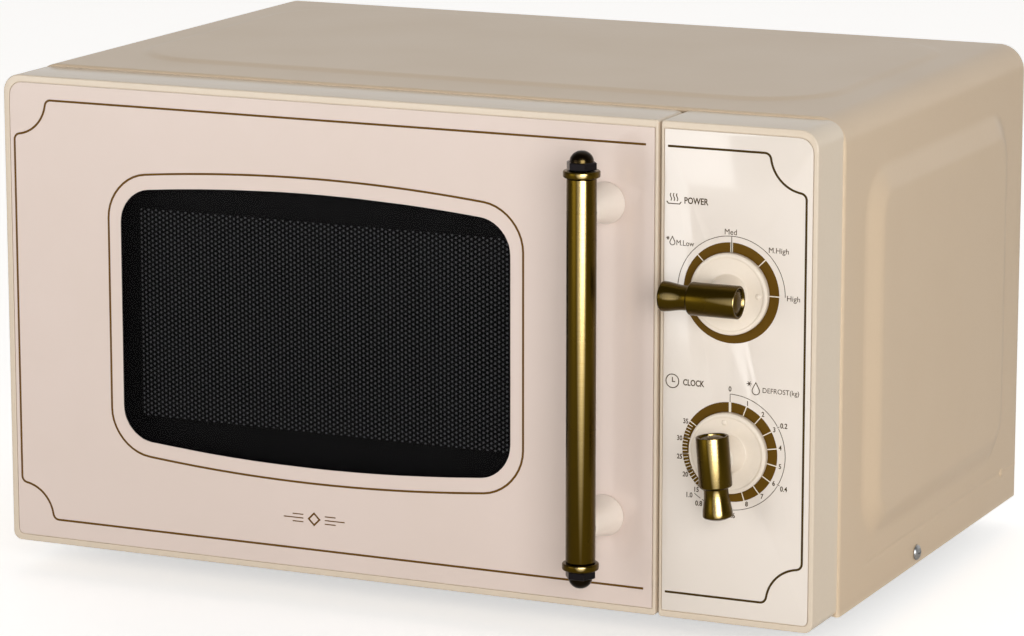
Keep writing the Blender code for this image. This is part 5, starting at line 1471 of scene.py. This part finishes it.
@dataclass
class ControlPanel:
    """The panel's moulding, sheet, stripe and printed scales."""

    stripes: Stripes = field(default_factory=lambda: Stripes(top=12.0 * MM, bottom=12.8 * MM))
    stripe_side: float = 5.7 * MM
    stripe_stop: float = 3.5 * MM
    ring_outer: float = 24.3 * MM
    ring_inner: float = 19.4 * MM
    power_arc: float = 27.3 * MM
    defrost_arc: float = 28.3 * MM
    number_radius: float = 26.1 * MM
    number_step: float = 20.0
    minute_step: float = 20.2

    def __post_init__(self) -> None:
        """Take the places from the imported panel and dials."""
        self.moulding = Moulding("control_panel", (1.5 * MM, 4.5 * MM, 9 * MM, 1.5 * MM),
                                 (1.4 * MM, 3.2 * MM, 2.2 * MM, 3.4 * MM), edge=0.8 * MM,
                                 gaps=(0.3 * MM, 0.0))
        self.low, self.high, self.face = self.moulding.low, self.moulding.high, self.moulding.face
        self.power, self.timer = (self.axis(f"{word}_dial") for word in ("power", "timer"))

    def axis(self, name: str) -> tuple[float, float]:
        """X and Z of a dial's middle."""
        low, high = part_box(name)
        return (low.x + high.x) / 2, (low.z + high.z) / 2

    def build(self) -> None:
        """Make and dress every piece of the panel."""
        moulding = self.moulding.build("panel_moulding")
        present(moulding, CREAM_ABS, "cabinet", ["control_panel"])
        shafts = [arc(centre, 4 * MM, 0, 345, 23) for centre in (self.power, self.timer)]
        present(self.moulding.sheet("panel_front_sheet", shafts), PANEL_SHEET, "cabinet")
        self.print()
        self.marks()

    def band(self, bm: bmesh.types.BMesh, centre: tuple[float, float], radius: float, width: float,
             start: float, end: float) -> None:
        """A printed arc, with its angles clockwise from the top, in degrees."""
        steps = max(4, round(abs(end - start) / 4))
        line = arc(centre, radius, 90 - start, 90 - end, steps)
        full = abs(end - start) >= 359.9
        ribbon(bm, line[:-1] if full else line, width, self.face, closed=full)

    def polar(self, centre: tuple[float, float], radius: float, angle: float) -> tuple[float, float]:
        """A point about a centre, its angle clockwise from the top, in degrees."""
        return centre[0] + radius * sin(radians(angle)), centre[1] + radius * cos(radians(angle))

    def print(self) -> None:
        """The stripe, dial rings, arcs, icons, words and numbers."""
        bm = bmesh.new()
        sizes = self.stripes
        line = bracket(self.low.x + self.stripe_stop, self.high.x - self.stripe_side,
                       self.low.z + sizes.bottom,
                       self.high.z - sizes.top, sizes.scallop, sizes.fillet)
        ribbon(bm, line, sizes.width, self.face)
        middle, width = (self.ring_outer + self.ring_inner) / 2, self.ring_outer - self.ring_inner
        self.band(bm, self.power, self.power_arc, 0.3 * MM, -90, 90)
        for centre, reach in ((self.power, self.power_arc), (self.timer, self.defrost_arc)):
            ends = [self.polar(centre, r, 0) for r in (reach, self.ring_outer)]
            ribbon(bm, ends, 0.3 * MM, self.face)
        for start, end in ((0, 58.5), (61, 118), (119.5, 178), (184, 209.5), (211.5, 219)):
            self.band(bm, self.timer, self.defrost_arc, 0.3 * MM, start, end)
        for angle in (59.7, 118.7):
            ends = [self.polar(self.timer, self.defrost_arc + r * MM, angle) for r in (-0.6, 0.9)]
            ribbon(bm, ends, 0.3 * MM, self.face)
        self.words(bm)
        self.icons(bm)
        present(new_object("panel_print", bm), BROWN_INK, "cabinet")
        bm = bmesh.new()
        for centre in (self.power, self.timer):
            self.band(bm, centre, middle, width, 0, 360)
        present(new_object("panel_dial_rings", bm), BRONZE_INK, "cabinet")

    def words(self, bm: bmesh.types.BMesh) -> None:
        """Generic words and the two scales' numbers, each from its dial's middle."""
        power = (("POWER", 3.0, -18.1, 42.7, 12.2), ("Med", 2.7, -0.5, 29.3, 6.1),
                 ("M.Low", 2.6, -23.6, 22.1, 9.0),
                 ("M.High", 2.6, 23.8, 22.1, 10.0), ("High", 2.6, 31.5, -0.3, 6.5))
        timer = (("CLOCK", 2.9, -18.7, 31.9, 10.9), ("DEFROST(kg)", 2.4, 25.7, 31.6, 18.4),
                 ("0", 2.4, -0.1, 30.8, 0),
                 ("0.2", 2.4, 27.4, 15.3, 0), ("0.4", 2.4, 27.7, -15.4, 0), ("0.6", 2.4, 1.3, -30.9, 0),
                 ("0.8", 2.4, -15.6, -26.7, 0), ("1.0", 2.4, -20.4, -23.0, 0))
        for (x, z), labels in ((self.power, power), (self.timer, timer)):
            for words, height, dx, dz, width in labels:
                lettering(bm, words, height * MM, (x + dx * MM, z + dz * MM), self.face, width * MM)
        numbers = [*range(1, 11), *range(15, 36, 5)]
        for i, number in enumerate(numbers):
            place = self.polar(self.timer, self.number_radius, (i + 1) * self.number_step)
            lettering(bm, str(number), 2.3 * MM, place, self.face)

    def icons(self, bm: bmesh.types.BMesh) -> None:
        """A steaming dish, a clock face and two drops with a snow star."""
        (px, pz), (tx, tz) = self.power, self.timer
        x, z, thin = px - 29.55 * MM, pz + 43.3 * MM, 0.45 * MM
        ribbon(bm, [(x - 3.7 * MM, z - 1.5 * MM), (x - 2.9 * MM, z - 2.6 * MM), (x + 2.9 * MM, z - 2.6 * MM),
                    (x + 3.7 * MM, z - 1.5 * MM)], thin, self.face)
        for shift in (-1.6, 0.0, 1.6):
            wave = [(x + (shift + 0.35 * sin(2 * pi * i / 8)) * MM, z + (-1.2 + 0.45 * i) * MM)
                    for i in range(9)]
            ribbon(bm, wave, thin, self.face)
        x, z = tx - 29.7 * MM, tz + 32.0 * MM
        self.band(bm, (x, z), 3.3 * MM, thin, 0, 360)
        ribbon(bm, [(x, z + 1.9 * MM), (x, z - 0.3 * MM), (x + 1.4 * MM, z - 0.3 * MM)], thin, self.face)
        self.star_drop(bm, (px - 32.5 * MM, pz + 24.0 * MM), (px - 30.2 * MM, pz + 22.7 * MM), 0.9)
        self.star_drop(bm, (tx + 9.6 * MM, tz + 34.2 * MM), (tx + 13.0 * MM, tz + 31.9 * MM), 1.3)

    def star_drop(self, bm: bmesh.types.BMesh, star: tuple[float, float], drop: tuple[float, float],
                  size: float) -> None:
        """A drop with a small star at its left.

        Args:
            bm: Where the faces go.
            star: The star's middle.
            drop: The drop's middle.
            size: Scale.
        """
        unit = size * MM
        outline = arc((drop[0], drop[1] - 0.7 * unit), 1.45 * unit, 150, 390, 14)
        ribbon(bm, [*outline, (drop[0], drop[1] + 2.4 * unit)], 0.4 * MM, self.face, closed=True)
        for angle in (0, 60, 120):
            ends = [(star[0] + s * unit * cos(radians(angle)), star[1] + s * unit * sin(radians(angle)))
                    for s in (-1, 1)]
            ribbon(bm, ends, 0.35 * MM, self.face)

    def marks(self) -> None:
        """Pale marks across the dial rings, in equal steps."""
        middle, length = (self.ring_outer + self.ring_inner) / 2, self.ring_outer - self.ring_inner
        deep = 4 * INK_THICKNESS
        groups = (
            ("power_marks", self.power, 3, -45.0, 45.0, 0.5, length),
            ("power_high_mark", self.power, 1, 90.0, 45.0, 0.5, length),
            ("power_middle_mark", self.power, 1, 0.0, 45.0, 1.2, length),
            ("timer_zero_mark", self.timer, 1, 0.0, 45.0, 1.2, length),
            ("minute_marks", self.timer, 15, self.minute_step, self.minute_step, 0.5, length),
            ("short_minute_marks", self.timer, 24, 10.2 * self.minute_step, self.minute_step / 5, 0.35,
             length * 0.5),
        )
        for name, (x, z), count, first, step, width, size in groups:
            made = radial_marks().make(name, {
                "Count": count, "First Angle": radians(first), "Step Angle": radians(step),
                "Radius": middle + (length - size) / 2, "Size": (width * MM, deep, size + 0.1 * MM),
                "Centre": (x, self.face, z), "Material": PALE_INK.material(),
            })
            present(made, PALE_INK, "cabinet")


@dataclass
class Dial:
    """A rotary dial: a moulded disc with a hub and a brass lever across it."""

    word: str
    tail: tuple[float, float, float]
    disc: float = 19.7 * MM
    rim: float = 1.6 * MM
    cone: float = 9.8 * MM
    cone_tip: float = 7.6 * MM
    lever: float = 7.9 * MM
    nose: float = 12 * MM
    length: float = 28.4 * MM

    def build(self) -> None:
        """Make and dress the disc and the lever on their joint's axis."""
        low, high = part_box(f"{self.word}_dial")
        x, z = (low.x + high.x) / 2, (low.z + high.z) / 2
        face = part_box("control_panel")[0].y
        lever_low, lever_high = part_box(f"{self.word}_lever")
        lever_y = (lever_low.y + lever_high.y) / 2
        hub, front = face - lever_y - self.lever * 0.6, 4.4 * MM
        dish = front - 0.5 * MM
        flank = [(self.cone_tip + (self.cone - self.cone_tip) * (1 - s) ** 2, dish + (hub - dish) * s)
                 for s in [i / 10 for i in range(11)]]
        profile = [(0, hub), *reversed(flank), (self.disc - self.rim - 0.7 * MM, dish),
                   (self.disc - self.rim, front), (self.disc - 0.7 * MM, front),
                   (self.disc, front - 0.9 * MM),
                   (self.disc, 0.3 * MM), (3 * MM, 0.3 * MM), (3 * MM, -2.4 * MM), (0, -2.4 * MM)]
        bm = bmesh.new()
        turned(bm, soften(profile, 0.5 * MM, 3), (x, face, z), (0, -1, 0), 96)
        dot = Vector((x, face, z)) - Vector(self.tail) * (self.disc - 4.6 * MM)
        bead = [(1.4 * MM * cos(a), dish - 0.2 * MM + 0.9 * MM * sin(a))
                for a in [pi / 2 * i / 6 for i in range(6)]]
        turned(bm, [(0, dish + 0.7 * MM), *reversed(bead), (0, dish - 0.2 * MM)], dot, (0, -1, 0), 24)
        present(new_object(f"{self.word}_knob_disc", bm), KNOB_ABS, f"{self.word}_knob",
                [f"{self.word}_dial"])
        r, nose = self.lever, self.nose
        waist = [(r * (0.745 + 0.17 * smooth_step(s)), nose + 3.2 * MM + (self.length - nose - 5.2 * MM) * s)
                 for s in [i / 10 for i in range(11)]]
        profile = [(0, self.length), (r * 0.5, self.length - 0.2 * MM), (r * 0.86, self.length - 1.4 * MM),
                   *reversed(waist), (r * 0.74, nose + 1.2 * MM), (r * 0.95, nose + 0.5 * MM),
                   (r, nose), (r, -nose),
                   (r * 0.84, -nose), (r * 0.8, 1.6 * MM - nose), (r * 0.7, 1.6 * MM - nose),
                   (r * 0.66, 0.8 * MM - nose), (r * 0.36, 0.2 * MM - nose), (0, -nose)]
        bm = bmesh.new()
        turned(bm, soften(profile, 0.45 * MM, 3), (x, lever_y, z), self.tail, 64)
        finish = LEVER_BRASS if abs(self.tail[0]) > 0.5 else PAINTED_SHADE_BRASS
        present(new_object(f"{self.word}_knob_lever", bm), finish, f"{self.word}_knob",
                [f"{self.word}_lever"])


# Turntable


@dataclass
class Turntable:
    """The pressed glass tray, and the ring and rollers under it."""

    wall: float = 4.5 * MM
    dish: float = 13 * MM
    bead: float = 0.4 * MM

    def build(self) -> None:
        """Make and dress the tray and its rollers, and dress the ring."""
        low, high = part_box("turntable_glass")
        x, y, r, rim = (low.x + high.x) / 2, (low.y + high.y) / 2, (high.x - low.x) / 2, high.z - low.z
        beads = [(r - self.dish - step * MM, self.wall + self.bead * (i % 2))
                 for i, step in enumerate((8, 10, 12, 14))]
        inner = [(0, self.wall), (26 * MM, self.wall), (28 * MM, self.wall + self.bead), (30 * MM, self.wall),
                 *reversed(beads), (r - self.dish, self.wall), (r - self.wall, rim - 0.6 * MM)]
        outer = [(r - 0.8 * MM, rim), (r, rim - 1.2 * MM), (r - self.dish + self.wall, 0), (0, 0)]
        bm = bmesh.new()
        turned(bm, soften(inner + outer, 1.2 * MM), (x, y, low.z), (0, 0, 1), 96)
        present(new_object("glass_tray", bm), CLEAR_GLASS, "turntable", ["turntable_glass"])
        for i, body in enumerate(("roller_a", "roller_b", "roller_c")):
            self.roller(f"roller_{i + 1}", body, Vector((x, y, 0)))
        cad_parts["roller_ring"].data.materials.clear()
        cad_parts["roller_ring"].data.materials.append(WHITE_NYLON.material())

    def roller(self, name: str, body: str, hub: Vector) -> None:
        """A wheel with a rounded tread and a recessed web.

        Args:
            name: The node that it replaces.
            body: The body it rides on.
            hub: The turntable's axis.
        """
        low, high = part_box(name)
        middle, r, half = (low + high) / 2, (high.z - low.z) / 2, 3 * MM
        out = Vector((middle.x - hub.x, middle.y - hub.y, 0)).normalized()
        profile = [(1.4 * MM, half), (2.8 * MM, half), (3.2 * MM, half - 1 * MM),
                   (r - 1.8 * MM, half - 1 * MM),
                   (r - 1.4 * MM, half), (r, half - 0.8 * MM), (r, 0.8 * MM - half), (r - 1.4 * MM, -half),
                   (r - 1.8 * MM, 1 * MM - half), (3.2 * MM, 1 * MM - half),
                   (2.8 * MM, -half), (1.4 * MM, -half),
                   (1.4 * MM, half)]
        bm = bmesh.new()
        turned(bm, soften(profile, 0.3 * MM, 2), middle, out, 40)
        present(new_object(f"nylon_{name}", bm), WHITE_NYLON, body, [name])


# Studio


@dataclass
class Studio:
    """A pale floor, soft light and the camera."""

    camera_place: tuple[float, float, float] = (0.93181, -2.04076, 0.58825)
    azimuth: float = 24.5
    elevation: float = 11.65
    lens: float = 155.46
    glow: float = 0.55
    dim: float = 0.22
    bright: float = 0.9

    def build(self) -> None:
        """Set up floor, world, lights and camera."""
        self.floor()
        self.world()
        self.lights()
        self.camera()

    def floor(self) -> None:
        """One large level sheet of pale paper, lit through a little like a light table."""
        bm = bmesh.new()
        corners = [bm.verts.new((x, y, 0.0)) for x, y in ((-9, -9), (9, -9), (9, 9), (-9, 9))]
        bm.faces.new(corners)
        paper = new_object("studio_floor", bm)
        material = FLOOR.material()
        shader = material.node_tree.nodes["Principled BSDF"].inputs
        shader["Emission Color"].default_value = linear("ffffff")
        seen = node(material.node_tree, "ShaderNodeLightPath").outputs["Is Camera Ray"]
        glow = node(material.node_tree, "ShaderNodeMath", {"operation": "MULTIPLY", 1: self.glow}, {0: seen})
        material.node_tree.links.new(glow.outputs[0], shader["Emission Strength"])
        paper.data.materials.append(material)

    def world(self) -> None:
        """A surround that is bright behind the oven and dim in front of it."""
        world = bpy.data.worlds.new("studio")
        world.use_nodes = True
        tree = world.node_tree
        direction = node(tree, "ShaderNodeTexCoord").outputs["Generated"]
        depth = node(tree, "ShaderNodeSeparateXYZ", None, {0: direction}).outputs["Y"]
        strength = node(tree, "ShaderNodeMapRange", {"From Min": -0.1, "From Max": 0.8, "To Min": self.dim,
                                                     "To Max": self.bright}, {"Value": depth}).outputs[0]
        surround = tree.nodes["Background"].inputs
        surround["Color"].default_value = linear("f9f7f5")
        tree.links.new(strength, surround["Strength"])
        bpy.context.scene.world = world

    def lights(self) -> None:
        """A large soft box beside the camera, and weaker ones at the left and above."""
        lamps = (
            ("key_light", (1.45, -2.15, 0.65), 1.5, 1.3, 38.0),
            ("fill_light", (-1.2, -2.0, 0.45), 1.2, 0.9, 9.5),
            ("top_light", (0.0, 0.5, 2.2), 1.6, 0.9, 2.0),
        )
        for name, place, width, height, power in lamps:
            lamp = bpy.data.lights.new(name, "AREA")
            lamp.shape, lamp.size, lamp.size_y, lamp.energy = "RECTANGLE", width, height, power
            made = bpy.data.objects.new(name, lamp)
            made.location = place
            made.rotation_euler = (Vector((0, 0, 0.12)) - Vector(place)).to_track_quat("-Z", "Y").to_euler()
            bpy.context.scene.collection.objects.link(made)

    def camera(self) -> None:
        """The camera, level from side to side and looking a little down."""
        lens = bpy.data.cameras.new("camera")
        lens.lens, lens.sensor_width, lens.clip_end = self.lens, 36.0, 50.0
        made = bpy.data.objects.new("camera", lens)
        made.location = self.camera_place
        made.rotation_euler = (radians(90 - self.elevation), 0.0, radians(self.azimuth))
        bpy.context.scene.collection.objects.link(made)
        bpy.context.scene.camera = made
        bpy.context.scene.view_settings.view_transform = "Standard"


def dress_carried() -> None:
    """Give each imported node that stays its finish."""
    for finish, names in CARRIED.items():
        for name in names:
            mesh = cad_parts[name].data
            mesh.materials.clear()
            mesh.materials.append(finish.material())
            LOG.info("%s keeps its packed shape, %s", name, finish.name)


def main() -> None:
    """Build the oven's looks in order, then the studio."""
    dress_carried()
    makers: list[Callable[[], None]] = [
        CabinetSheet().build, Screws().build, Louvres().build, Feet().build, Door().build, Handle().build,
        ControlPanel().build, Dial("power", (-1, 0, 0)).build,
        Dial("timer", (sin(TIMER_TURN), 0, -cos(TIMER_TURN))).build,
        Turntable().build, Studio().build,
    ]
    for make in makers:
        make()


if __name__ == "__main__":
    main()
